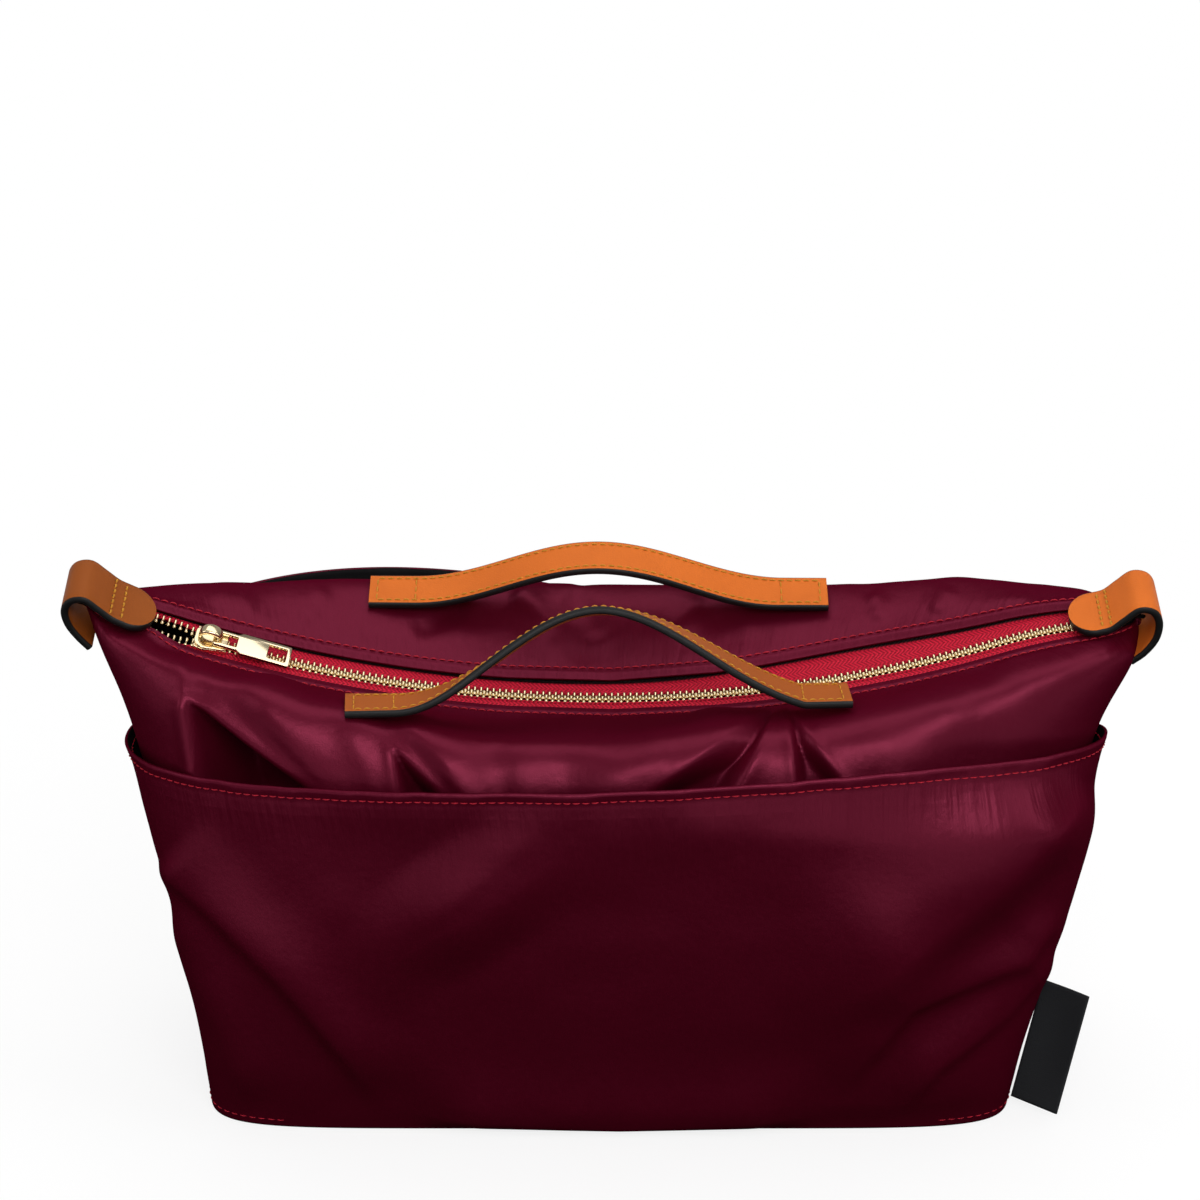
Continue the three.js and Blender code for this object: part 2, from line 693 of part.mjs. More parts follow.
// A handle rises from two sewn patches on the slope beside the zip and arches between them.
function handleStation(handle, seats, x) {
  const { halfSpan, rise, leanAngle } = handle;
  const reach = Math.min(1, Math.abs(x) / halfSpan);
  const arch = (rise * (1 + Math.cos(Math.PI * reach))) / 2;
  const half = halfSpan + handlePatch;
  const share = (x + half) / (2 * half);
  const point = seats[0].point.clone().lerp(seats[1].point, share);
  const across = seats[0].across.clone().lerp(seats[1].across, share).normalize();
  const up = new THREE.Vector3(1, 0, 0).cross(across).normalize();
  point.addScaledVector(up, handleClearance + leatherThickness / 2);
  point.add(new THREE.Vector3(0, Math.sin(leanAngle), Math.cos(leanAngle)).multiplyScalar(arch));
  const leaning = new THREE.Vector3(0, Math.cos(leanAngle), -Math.sin(leanAngle));
  across.lerp(leaning, smoothStep((1 - reach) / strapTurnShare));
  const section = seats[1].point.clone().sub(seats[0].point).normalize();
  across.addScaledVector(section, -across.dot(section)).normalize();
  return { point, across, width: handleWidth, section };
}

function addHandle(name, handle) {
  const { side, halfSpan, leftDepth, rightDepth, cut } = handle;
  const half = halfSpan + handlePatch;
  const seats = [
    wallSeat(side, handleShift - half, leftDepth),
    wallSeat(side, handleShift + half, rightDepth),
  ];
  const run = (from, to, count) =>
    Array.from({ length: count + 1 }, (_, i) => handleStation(handle, seats, from + ((to - from) * i) / count));
  const grip = cut - layerGap / 2;
  const end = cut + layerGap / 2;
  addPiece(name + "_handle_left_end", strap(run(-half, -end, handleEndSteps), leatherThickness), leather);
  addPiece(name + "_handle_grip", strap(run(-grip, grip, gripSteps), leatherThickness), leather);
  addPiece(name + "_handle_right_end", strap(run(end, half, handleEndSteps), leatherThickness), leather);
}

// The loop's strap has a rounded tongue, so its first stations grow in width.
function addLoop(name, { end, heights }) {
  const across = new THREE.Vector3(0, -end, 0);
  const zipEnd = Math.abs(end < 0 ? leftZipEnd : rightZipEnd);
  const stations = tongueShares.map((share) => {
    const width = loopWidth * Math.sqrt(1 - (1 - share) ** 2);
    const place = zipEnd - loopTongue + loopTipRound * share;
    return { point: zipPoint(end * place, 0, loopLift), across, width };
  });
  const route = loopPlaces.map((place, i) => zipPoint(end * (zipEnd + place), 0, loopLift + heights[i]));
  const curve = new THREE.CatmullRomCurve3(route, false, "centripetal");
  for (const point of curve.getPoints(loopSteps)) stations.push({ point, across, width: loopWidth });
  addPiece(name, strap(stations, leatherThickness), leather);
}

// The label stands out of the pocket's corner as a folded strip.
function addTag() {
  const outward = new THREE.Vector3(Math.cos(tagTurnAngle), -Math.sin(tagTurnAngle), 0);
  const inset = -pocketGapAtBase - nylonThickness;
  const seamPoint = (height, depth) => {
    let [shareLow, shareHigh] = [0.5, 1];
    const [low, waist] = frontHeights.slice(1, 3);
    const row = height < low ? height / low : 1 + (height - low) / (waist - low);
    for (let step = 0; step < searchSteps; step++) {
      const middle = (shareLow + shareHigh) / 2;
      if (wallPoint(-1, middle, row, inset).y < -depth) shareLow = middle;
      else shareHigh = middle;
    }
    return wallPoint(-1, shareLow, row, inset).setZ(height);
  };
  const seam = [
    seamPoint(tagFoot, tagFootDepthShare * bagHalfDepth),
    seamPoint(tagFoot + tagHeight, tagTopDepthShare * bagHalfDepth),
  ];
  const stations = seam.map((point) => {
    point.addScaledVector(outward, tagClearance + tagWidth / 2);
    return { point, across: outward, width: tagWidth };
  });
  addPiece("side_tag", strap(stations, tagThickness), label);
}

addBase();
for (const [name, side] of [["front", -1], ["back", 1]]) {
  addWalls(name, side);
  addInnerPocket(name + "_inner_pocket", side);
  addTape(name + "_zip_tape", side);
  addTeeth(name + "_zip_chain", side);
}
addPockets();
addStops();
addSlider();
for (const [name, handle] of Object.entries(handles)) addHandle(name, handle);
for (const [name, loop] of Object.entries(loops)) addLoop(name + "_end_loop", loop);
addTag();

export default part;
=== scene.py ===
import bpy
import math
import numpy as np
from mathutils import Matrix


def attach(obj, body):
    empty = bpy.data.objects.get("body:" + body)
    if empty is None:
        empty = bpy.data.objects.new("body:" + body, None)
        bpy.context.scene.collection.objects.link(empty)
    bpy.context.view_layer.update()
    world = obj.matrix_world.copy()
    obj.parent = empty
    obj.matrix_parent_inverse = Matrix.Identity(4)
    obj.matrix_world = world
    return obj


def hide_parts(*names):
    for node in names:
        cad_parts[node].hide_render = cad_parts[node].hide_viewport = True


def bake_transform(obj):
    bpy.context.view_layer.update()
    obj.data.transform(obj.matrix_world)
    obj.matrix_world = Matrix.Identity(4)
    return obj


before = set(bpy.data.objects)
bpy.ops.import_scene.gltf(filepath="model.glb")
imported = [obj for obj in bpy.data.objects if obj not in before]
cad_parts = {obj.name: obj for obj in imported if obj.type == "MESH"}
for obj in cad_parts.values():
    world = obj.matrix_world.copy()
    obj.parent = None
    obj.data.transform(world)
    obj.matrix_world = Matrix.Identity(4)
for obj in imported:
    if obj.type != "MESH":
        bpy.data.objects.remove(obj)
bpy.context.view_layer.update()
metre = 1000  # millimetres, in which every shape below is worked out
tiny, farAway = 1e-9, 1e9

# The bag's own measures, in millimetres: X along it, Y from front to back, Z up
bag = {
    "halfLengths": [139, 142.8, 154.5, 163, 176, 177.2, 177.2],
    "shifts": [-0.7, 0.8, 3.5, 1.3, 1.2, 0, 0],
    "frontDepths": [51, 55, 58.5, 56, 46, 10.8, 7.2],
    "backDepths": [51, 55, 58, 53, 46, 11.8, 7.2],
    "frontHeights": [0.3, 28, 80, 138, 147],
    "backHeights": [0.3, 28, 80, 145, 161],
    "endHeights": [0.3, 28, 78, 131],
    "endDrop": 5.5,
    "cornerDrop": 3,
    "frontCornerPower": 8,
    "backCornerPower": 13,
    "frontRoundness": [7.8, 5.8, 3.8, 2.7, 2.1, 8, 8],
    "backRoundness": [7.8, 5.8, 3.8, 2.7, 2.5, 8, 8],
    "depthInset": [1, 1, 1, 1, 1, 0, 0],
    "heightInset": [0, 0, 0, 0, 1, 1, 1],
    "seamGap": 0.02,
    "samples": 2001,
    "endPower": 24,
}
zipArc = {
    "shift": -2.5, "radius": 430, "low": 140.3, "roll": 0.26,
    "flat": 7.4, "outer": 11, "slope": 0.26, "lip": 2.1,
    "droop": 10.5, "droopFrom": 131, "droopRun": 46, "droopEnd": 1.15, "droopEase": 6.6,
    "widen": 4.4, "widenAt": 85, "widenRun": 50, "cover": 0.55, "coverAt": -156, "coverRun": 8,
}
view = {"place": [-4, -861.6, 592.5], "tilt": 64.3, "focal": 2850, "frame": 1200}  # in mm, degrees and pixels


# A smooth step: 3 t^2 - 2 t^3, with t held between 0 and 1.
def smooth(value):
    held = np.clip(value, 0, 1)
    return held * held * (3 - 2 * held)


def unit(vectors):
    length = np.linalg.norm(vectors, axis=-1, keepdims=True)
    return vectors / np.where(length < tiny, 1, length)


# A bell over x: 1 at its middle, and exp(-1) one run away from it.
def bell(x, middle, run):
    return np.exp(-(((x - middle) / run) ** 2))


# The length of a path from its start to each of its points.
def lengthsAlong(path):
    return np.append(0, np.cumsum(np.linalg.norm(np.diff(path, axis=0), axis=1)))


# The zip lies rolled towards the front: (across, up) turns by the roll angle about its line.
def rolled(across, up):
    turn = zipArc["roll"]
    return across * math.cos(turn) - up * math.sin(turn), across * math.sin(turn) + up * math.cos(turn)


# The right ear droops: a parabola over the last 46 mm, which levels out just past it.
def droopAt(x):
    reach = ((np.asarray(x, float) - zipArc["droopFrom"]) / zipArc["droopRun"]).clip(0, zipArc["droopEnd"])
    past = reach - 1
    return zipArc["droop"] * np.where(reach < 1, reach**2, 1 + past * (2 - zipArc["droopEase"] * past))


# Points on the zip's arc: x and z turn about the arc's centre.
def zipPoint(along, across, up):
    along, across, up = np.broadcast_arrays(*[np.asarray(v, float) for v in (along, across, up)])
    y, lifted = rolled(across, up)
    angle = along / zipArc["radius"]
    reach = zipArc["radius"] - lifted
    x = zipArc["shift"] + reach * np.sin(angle)
    return np.stack([x, y, zipArc["low"] + zipArc["radius"] - droopAt(x) - reach * np.cos(angle)], -1)


# The height of the zip's arc over x, less the droop.
def zipHeight(x):
    sag = np.sqrt(zipArc["radius"] ** 2 - (x - zipArc["shift"]) ** 2)
    return zipArc["low"] + zipArc["radius"] - droopAt(x) - sag


# The back fold stands further from the teeth right of the middle.
def widenAt(x):
    return zipArc["widen"] * bell(x, zipArc["widenAt"], zipArc["widenRun"])


# The front fold closes over the chain's open end, by a share of the fold's depth.
def coverAt(x):
    return zipArc["cover"] * bell(x, zipArc["coverAt"], zipArc["coverRun"])


# The tape lies level beside the teeth, then rises in proportion to the distance.
def tapeRise(across):
    return zipArc["slope"] * np.maximum(0, np.abs(across) - zipArc["flat"])


# Pixels of the frame in which points appear, by the camera's own place, tilt and focal length.
def toPixels(points):
    tilt = math.radians(90 - view["tilt"])
    away = points - np.array(view["place"], float)
    depth = away[..., 1] * math.cos(tilt) - away[..., 2] * math.sin(tilt)
    rise = away[..., 1] * math.sin(tilt) + away[..., 2] * math.cos(tilt)
    scale, middle = view["focal"] / depth, view["frame"] / 2
    return np.stack([middle + scale * away[..., 0], middle - scale * rise], -1)


# Each level of the bag is half a superellipse, x = cos^p and y = sin^p, read at shares of its length.
def levelCurves(side, inset, shares):
    angle = np.linspace(math.pi, 0, bag["samples"])
    cosine, sine = np.cos(angle), np.sin(angle).clip(0)
    face = "front" if side < 0 else "back"
    depths, heights, roundness = bag[face + "Depths"], bag[face + "Heights"], bag[face + "Roundness"]
    curves = []
    for level, half in enumerate(bag["halfLengths"]):
        power = 2 / roundness[level]
        reach = half - inset
        wide = np.sign(cosine) * np.abs(cosine) ** power
        depth = depths[level] - inset * bag["depthInset"][level] - bag["seamGap"] / 2
        y = side * (bag["seamGap"] / 2 + sine**power * depth)
        x = wide * reach + bag["shifts"][level]
        if level < len(heights):
            ridge = level >= len(bag["endHeights"])
            tip = bag["shifts"][level] + half
            end = zipHeight(tip) + droopAt(tip) - bag["endDrop"] if ridge else bag["endHeights"][level]
            z = heights[level] + (end - heights[level]) * wide**2
            drop = bag["cornerDrop"] + droopAt(tip) * (wide > 0)
            z = z - ridge * drop * wide ** (2 * bag[face + "CornerPower"])
        else:
            y = y + (widenAt(x) * sine**power if side > 0 else -y * coverAt(x))
            y, rise = rolled(y, tapeRise(y) + zipArc["lip"])
            y = y * (1 - np.abs(wide) ** bag["endPower"])
            z = zipHeight(x) + rise
        z = z - inset * bag["heightInset"][level]
        points = np.stack([x, y, z], 1)
        length = lengthsAlong(points)
        curves.append(np.stack([np.interp(shares * length[-1], length, points[:, k]) for k in range(3)], 1))
    return np.array(curves)


# Centripetal spline through the levels: rows 0 to 6 run from the base's seam to the fold at the zip.
def throughLevels(levels, rows):
    ends = [2 * levels[:1] - levels[1:2], levels, 2 * levels[-1:] - levels[-2:-1]]
    knots = np.concatenate(ends)
    shortest = 1e-2
    out = []
    for row in rows:
        segment = min(int(row), len(levels) - 2)
        t = row - segment
        a, b, c, d = knots[segment:segment + 4]
        steps = ((a, b), (b, c), (c, d))
        da, db, dc = [np.linalg.norm(q - p, axis=1, keepdims=True) ** 0.5 for p, q in steps]
        db = np.where(db < shortest, 1, db)
        da, dc = np.where(da < shortest, db, da), np.where(dc < shortest, db, dc)
        start = ((b - a) / da - (c - a) / (da + db) + (c - b) / db) * db
        end = ((c - b) / db - (d - b) / (db + dc) + (d - c) / dc) * db
        square, cube = 3 * (c - b) - 2 * start - end, 2 * (b - c) + start + end
        out.append(b + start * t + square * t**2 + cube * t**3)
    return np.array(out)


# The bag's wall on a grid of rows and shares, moved inwards by depth.
def wall(side, rows, shares, depth=0.0):
    outer = throughLevels(levelCurves(side, 0, shares), rows)
    inner = throughLevels(levelCurves(side, 1, shares), rows)
    depth = np.asarray(depth, float)
    return outer + (inner - outer) * (depth[..., None] if depth.ndim else depth)


# Normals of a grid, outwards: the cross product of its two directions.
def gridNormals(grid, side):
    down = np.gradient(grid, axis=0)
    along = np.gradient(grid, axis=1)
    return unit(np.cross(along, down) * -side)


# Meshes
def placed(name, data):
    item = bpy.data.objects.new(name, data)
    bpy.context.collection.objects.link(item)
    return item


def makeMesh(name, points, faces, material, uv=None, faceMaterials=None, smoothFaces=True):
    mesh = bpy.data.meshes.new(name)
    faces = faces if isinstance(faces, list) else faces.tolist()
    mesh.from_pydata(np.asarray(points, float).reshape(-1, 3) / metre, [], faces)
    for item in material if isinstance(material, list) else [material]:
        mesh.materials.append(item)
    if faceMaterials is not None:
        mesh.polygons.foreach_set("material_index", np.asarray(faceMaterials, np.int32))
    mesh.polygons.foreach_set("use_smooth", np.full(len(mesh.polygons), smoothFaces))
    if uv is not None:
        corner = np.empty(len(mesh.loops), np.int32)
        mesh.loops.foreach_get("vertex_index", corner)
        layer = mesh.uv_layers.new(name="UVMap")
        layer.data.foreach_set("uv", np.asarray(uv, float).reshape(-1, 2)[corner].ravel())
    mesh.update()
    return placed(name, mesh)


# Quads of a grid of rows and columns. Loops close the grid on itself.
def gridFaces(rows, columns, flip=False, loop=False):
    wide = columns if loop else columns - 1
    r, c = np.meshgrid(np.arange(rows - 1), np.arange(wide), indexing="ij")
    right = (c + 1) % columns
    near, far = r * columns, (r + 1) * columns
    quads = np.stack([near + c, near + right, far + right, far + c], -1).reshape(-1, 4)
    return quads[:, ::-1] if flip else quads


def solidify(piece, thickness, materialStep=0):
    layer = piece.modifiers.new("thickness", "SOLIDIFY")
    layer.thickness = thickness / metre
    layer.offset = -1
    layer.use_even_offset = False
    layer.material_offset = materialStep


def splitEdges(piece, degrees):
    edges = piece.modifiers.new("edges", "EDGE_SPLIT")
    edges.split_angle = math.radians(degrees)


# A tube along a path: each ring is the section turned to the path. Section points are (side, up).
def sweep(path, side, up, section, scale=None):
    scale = np.ones((len(path), 2)) if scale is None else scale
    across = section[None, :, 0:1] * scale[:, None, 0:1] * side[:, None]
    lifted = section[None, :, 1:2] * scale[:, None, 1:2] * up[:, None]
    return path[:, None] + across + lifted


# Faces of tubes of rings with both ends closed, one tube after another.
def capped(rings, columns, copies=1, flip=False):
    step = rings * columns
    starts = np.arange(copies) * step
    faces = (gridFaces(rings, columns, flip, True) + starts[:, None, None]).reshape(-1, 4).tolist()
    turn = 1 if flip else -1
    for start in starts.tolist():
        faces.append(list(range(start, start + columns))[::turn])
        faces.append(list(range(start + step - columns, start + step))[::-turn])
    return faces


# A unit circle as a list of points.
def circle(count, start=0.0):
    turn = np.linspace(0, 2 * math.pi, count, endpoint=False) + start
    return np.stack([np.cos(turn), np.sin(turn)], 1)


# Points at equal steps of a path's length, and that length.
def resample(path, count):
    length = lengthsAlong(path)
    at = np.linspace(0, length[-1], count)
    return np.stack([np.interp(at, length, path[:, k]) for k in range(path.shape[1])], 1), length[-1]


thread = {
    "sides": 6, "step": 0.25,
    "swell": [0.55, 0.95, 1.05, 0.95, 0.55], "sink": [-1.1, 0.1, 0.5, 0.1, -1.1],
}


# Stitches along a line: each is a short rod that dips into the cloth at both ends. A kind gives their
# pitch, the share of it that shows, and their radius and lift in millimetres.
def stitches(name, path, normals, material, kind, body="bag"):
    rings, radius = len(thread["swell"]), kind["radius"]
    samples = max(2, int(lengthsAlong(path)[-1] / thread["step"]))
    both, total = resample(np.concatenate([path, normals], 1), samples)
    count = max(1, int(total / kind["pitch"]))
    starts = (np.arange(count) + (1 - kind["share"]) / 2) / count
    index = (starts[:, None] + np.linspace(0, 1, rings) * kind["share"] / count) * (len(both) - 1)
    low = np.floor(index).astype(int).clip(0, len(both) - 2)
    mixed = both[low] + (both[low + 1] - both[low]) * (index - low)[..., None]
    centre, normal = mixed[..., :3], unit(mixed[..., 3:])
    side = unit(np.cross(normal, unit(np.gradient(centre, axis=1))))
    centre = centre + normal * (np.array(thread["sink"]) * radius + kind["lift"])[:, None]
    turn = circle(thread["sides"])[:, :, None]
    ring = turn[:, 0] * side[:, :, None] + turn[:, 1] * normal[:, :, None]
    points = centre[:, :, None] + ring * (np.array(thread["swell"]) * radius)[:, None, None]
    piece = makeMesh(name, points, capped(rings, thread["sides"], count), material)
    if body:
        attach(piece, body)
    return piece


# Materials
class Value:
    # A socket in a material. Sums and products of it add Math nodes.
    def __init__(self, shader, link):
        self.shader, self.link = shader, link

    def math(self, operation, first, second=0.0):
        return self.shader.add("ShaderNodeMath", {"operation": operation}, {0: first, 1: second})

    def __add__(self, other):
        return self.math("ADD", self, other)

    __radd__ = __add__

    def __mul__(self, other):
        return self.math("MULTIPLY", self, other)

    __rmul__ = __mul__

    def __sub__(self, other):
        return self.math("SUBTRACT", self, other)

    def __rsub__(self, other):
        return self.math("SUBTRACT", other, self)

    def wave(self):
        return self.math("SINE", self)

    def least(self, other):
        return self.math("MINIMUM", self, other)


class Shader:
    def __init__(self, block):
        self.block = block
        block.use_nodes = True
        self.tree = block.node_tree
        self.tree.nodes.clear()

    def add(self, kind, settings=None, inputs=None, output=0):
        node = self.tree.nodes.new(kind)
        for key, value in (settings or {}).items():
            if key == "stops":
                ramp = node.color_ramp
                while len(ramp.elements) < len(value):
                    ramp.elements.new(1)
                for element, (place, colour) in zip(ramp.elements, value):
                    element.position, element.color = place, (*colour, 1)
            else:
                setattr(node, key, value)
        for key, value in (inputs or {}).items():
            if isinstance(value, Value):
                self.tree.links.new(value.link, node.inputs[key])
            else:
                node.inputs[key].default_value = value
        return Value(self, node.outputs[output])

    def place(self):
        return self.add("ShaderNodeTexCoord", output="Object")

    def part(self, vector, axis):
        return self.add("ShaderNodeSeparateXYZ", {}, {0: vector}, output=axis)

    def uv(self, axis):
        return self.part(self.add("ShaderNodeTexCoord", output="UV"), axis)

    def lengthOf(self, vector):
        return self.add("ShaderNodeVectorMath", {"operation": "LENGTH"}, {0: vector}, output=1)

    def rise(self, value, low, high):
        inputs = {"Value": value, "From Min": low, "From Max": high}
        return self.add("ShaderNodeMapRange", {"interpolation_type": "SMOOTHSTEP"}, inputs)

    def noise(self, scale, detail, roughness=0.5, stretch=(1, 1, 1), vector=None):
        mapped = self.add("ShaderNodeMapping", {}, {"Vector": vector or self.place(), "Scale": stretch})
        settings = {"Vector": mapped, "Scale": scale, "Detail": detail, "Roughness": roughness}
        return self.add("ShaderNodeTexNoise", {}, settings, output="Fac")

    def mix(self, factor, first, second):
        first, second = [(*c, 1) if isinstance(c, tuple) else c for c in (first, second)]
        return self.add("ShaderNodeMix", {"data_type": "RGBA"}, {0: factor, 6: first, 7: second}, output=2)

    def bump(self, height, strength, distance):
        return self.add("ShaderNodeBump", {}, {"Height": height, "Strength": strength, "Distance": distance})

    def join(self, factor, first, second):
        return self.add("ShaderNodeMixShader", {}, {0: factor, 1: first, 2: second})

    def principled(self, **sockets):
        names = {key.replace("_", " "): value for key, value in sockets.items()}
        return self.add("ShaderNodeBsdfPrincipled", {}, names)

    def finish(self, **sockets):
        return self.output(self.principled(**sockets))

    def output(self, surface, kind="ShaderNodeOutputMaterial"):
        out = self.tree.nodes.new(kind)
        self.tree.links.new(surface.link, out.inputs[0])
        return self.block


nylonLook = {
    "deep": (0.040, 0.0004, 0.0048), "lit": (0.058, 0.0008, 0.0074), "sheen": (0.92, 0.135, 0.27, 1),
    "sheenShare": 0.068, "puckerReach": 10.0, "puckerStretch": (1, 0.11, 1), "bump": 0.42, "bumpDeep": 0.0011,
}


# Dyed taffeta: a dull red body under a thin sheen of the same red. UV holds millimetres along a seam
# and away from it: puckers are noise stretched away from the seam, times exp(-distance / reach).
def nylonFinish(name, look):
    s = Shader(bpy.data.materials.new(name))
    broad = s.noise(9, 2)
    crinkle = s.noise(70, 4, 0.6)
    fine = s.noise(420, 2, 0.5)
    weave = s.noise(2600, 1, 0.5)
    seam = s.add("ShaderNodeTexCoord", output="UV")
    fade = s.add("ShaderNodeMath", {"operation": "EXPONENT"}, {0: s.uv("Y") * (-1 / look["puckerReach"])})
    pucker = s.noise(0.34, 2, 0.55, look["puckerStretch"], seam) * fade
    height = crinkle * 0.42 + fine * 0.16 + weave * 0.08 + pucker * 1.3
    normal = s.bump(height, look["bump"], look["bumpDeep"])
    shade = s.mix(0.2 + 0.6 * broad, look["deep"], look["lit"])
    body = s.principled(Base_Color=shade, Roughness=0.8, Specular_IOR_Level=0.0, Normal=normal)
    gloss = s.principled(
        Base_Color=look["sheen"],
        Metallic=1.0,
        Specular_Tint=look["sheen"],
        Roughness=0.33 + 0.14 * fine - 0.06 * broad,
        Normal=normal,
    )
    return s.output(s.join(look["sheenShare"], body, gloss))


def leatherFinish(name, deep, lit):
    s = Shader(bpy.data.materials.new(name))
    broad = s.noise(45, 3)
    grain = s.noise(1500, 3, 0.55)
    pores = s.noise(4200, 2, 0.6)
    return s.finish(
        Base_Color=s.mix((broad * 0.8 + grain * 0.3).least(1.0), deep, lit),
        Roughness=0.46 + 0.18 * grain,
        Specular_IOR_Level=0.25,
        Specular_Tint=(1.0, 0.62, 0.3, 1),
        Normal=s.bump(grain + pores * 0.5, 0.22, 0.0003),
    )


def plainFinish(name, colour, roughness, grainScale=900, strength=0.2, specular=0.5):
    s = Shader(bpy.data.materials.new(name))
    grain = s.noise(grainScale, 3)
    shade = s.mix(grain, tuple(c * 0.82 for c in colour), tuple(min(1, c * 1.15) for c in colour))
    return s.finish(
        Base_Color=shade,
        Roughness=roughness + 0.1 * grain,
        Specular_IOR_Level=specular,
        Normal=s.bump(grain, strength, 0.0002),
    )


# The edge colour is painted shade, laid on the tape where the fold covers its outer edge.
tapeLook = {
    "deep": (0.16, 0.0012, 0.009), "lit": (0.60, 0.008, 0.034), "edge": (0.004, 0.0004, 0.0008),
    "shadeFrom": 6.5, "shadeTo": 7.4, "fold": 2.2, "ribs": 4.2, "rows": 9.5,
}


# Woven tape: diagonal ribs that turn into a herringbone, from the tape's own lengths in millimetres. Its
# colour darkens towards the fold that lies over its outer edge: painted shade of that fold.
def tapeFinish(name, look):
    s = Shader(bpy.data.materials.new(name))
    along, across = s.uv("X"), s.uv("Y")
    fold = s.add("ShaderNodeMath", {"operation": "PINGPONG"}, {0: across, 1: look["fold"]})
    ribs = ((along * look["ribs"] + fold * look["ribs"]).wave() + 1) * 0.5
    rows = ((across * look["rows"]).wave() + 1) * 0.5
    height = ribs * 0.7 + rows * 0.3
    shade = s.rise(across, look["shadeFrom"], look["shadeTo"])
    return s.finish(
        Base_Color=s.mix(shade, s.mix(height, look["deep"], look["lit"]), look["edge"]),
        Roughness=0.68 - 0.12 * height,
        Specular_IOR_Level=0.14,
        Normal=s.bump(height, 0.7, 0.0003),
    )


# A dome bends the reflections of a flat face: its height falls with the square of Y.
def metalFinish(name, colour, roughness, dome=0.0):
    s = Shader(bpy.data.materials.new(name))
    smear = s.noise(260, 3)
    across = s.part(s.place(), "Y")
    return s.finish(
        Base_Color=s.mix(smear, tuple(c * 0.93 for c in colour), colour),
        Metallic=1.0,
        Roughness=roughness + 0.08 * smear,
        Normal=s.bump(smear * 0.05 - across * across * dome, 1.0, 0.0001),
    )


nylon = nylonFinish("burgundyNylon", nylonLook)
liningCloth = plainFinish("blackLining", (0.004, 0.004, 0.0045), 0.75, 1400, 0.3, 0.15)
boardFinish = plainFinish("stiffBoard", (0.03, 0.03, 0.032), 0.85)
zipTape = tapeFinish("crimsonTape", tapeLook)
gold = metalFinish("paleGold", (0.88, 0.72, 0.45), 0.13)
domedGold = metalFinish("paleGoldDomed", (0.88, 0.74, 0.5), 0.08, 102000)
leather = leatherFinish("tanLeather", (0.45, 0.094, 0.011), (0.62, 0.142, 0.018))
# A darker copy of the tan leather: painted shade on the front handle, which faces away from the light.
paintedShadeLeather = leatherFinish("tanLeatherPaintedShade", (0.25, 0.055, 0.0065), (0.38, 0.090, 0.012))
# A still darker copy of the tan leather: painted shade on the left loop, whose face turns away from the
# light.
paintedDeepShadeLeather = leatherFinish("tanLeatherPaintedDeepShade", (0.18, 0.040, 0.005), (0.27, 0.065, 0.009))
paintedEdge = plainFinish("paintedEdge", (0.004, 0.004, 0.004), 0.42, 600, 0.15, 0.25)
redThread = plainFinish("redThread", (0.34, 0.008, 0.022), 0.6, 3000, 0.3, 0.2)
mustardThread = plainFinish("mustardThread", (0.46, 0.20, 0.018), 0.6, 3000, 0.3, 0.2)
labelCloth = plainFinish("labelRibbon", (0.010, 0.011, 0.013), 0.72, 2200, 0.35, 0.3)
print("materials made")


# Folds: each is drawn where it lies, as a line of pixels of the frame, and lifts or sinks the cloth. Its
# section is a bell over the distance from that line, with its own width on each side, tapered at both ends.
def foldField(pixels, folds):
    total = np.zeros(pixels.shape[:-1])
    for path, widths, height, ends in folds:
        path = np.array(path, float)
        best = np.full(total.shape, farAway)
        signed, along = np.zeros(total.shape), np.zeros(total.shape)
        lengths = lengthsAlong(path)
        for k in range(len(path) - 1):
            run = path[k + 1] - path[k]
            t = (((pixels - path[k]) @ run) / (run @ run)).clip(0, 1)
            gap = pixels - (path[k] + t[..., None] * run)
            far = np.linalg.norm(gap, axis=-1)
            nearer = far < best
            best = np.where(nearer, far, best)
            signed = np.where(nearer, run[0] * gap[..., 1] - run[1] * gap[..., 0], signed)
            along = np.where(nearer, lengths[k] + t * (lengths[k + 1] - lengths[k]), along)
        left, right = np.broadcast_to(widths, 2)
        share = along / lengths[-1]
        taper = smooth(share / ends[0]) * smooth((1 - share) / ends[1])
        total += height * bell(best, 0, np.where(signed < 0, left, right)) * taper
    return total


# Puckers that run away from a seam: a smooth random line of lifts, fading with the distance.
def puckers(along, distance, wave, reach, height, seed):
    local = np.random.default_rng(seed)
    spread = float(np.max(along) - np.min(along)) + 1
    knots = np.arange(-2, spread / wave + 4)
    lifts = local.uniform(-1, 1, len(knots))
    at = (along - np.min(along)) / wave + 1
    low = np.floor(at).astype(int)
    t = smooth(at - low)
    value = lifts[low] * (1 - t) + lifts[low + 1] * t
    return height * value * np.exp(-np.maximum(distance, 0) / reach)


# Soft noise: tables of random lifts, mixed smoothly between their points, at halved scales and weights.
def softNoise(x, y, scale, seed, octaves=3, side=64, offset=17):
    total, weight = np.zeros_like(x), 1.0
    for octave in range(octaves):
        local = np.random.default_rng(seed + octave)
        table = local.uniform(-1, 1, (side, side))
        u, v = x / scale * 2**octave + offset, y / scale * 2**octave + offset
        i, j = np.floor(u).astype(int), np.floor(v).astype(int)
        a, b = smooth(u - i), smooth(v - j)
        corners = [table[(i + p) % side, (j + q) % side] for p, q in ((0, 0), (1, 0), (0, 1), (1, 1))]
        near = corners[0] * (1 - a) + corners[1] * a
        far = corners[2] * (1 - a) + corners[3] * a
        total, weight = total + (near * (1 - b) + far * b) * weight, weight * 0.5
    return total


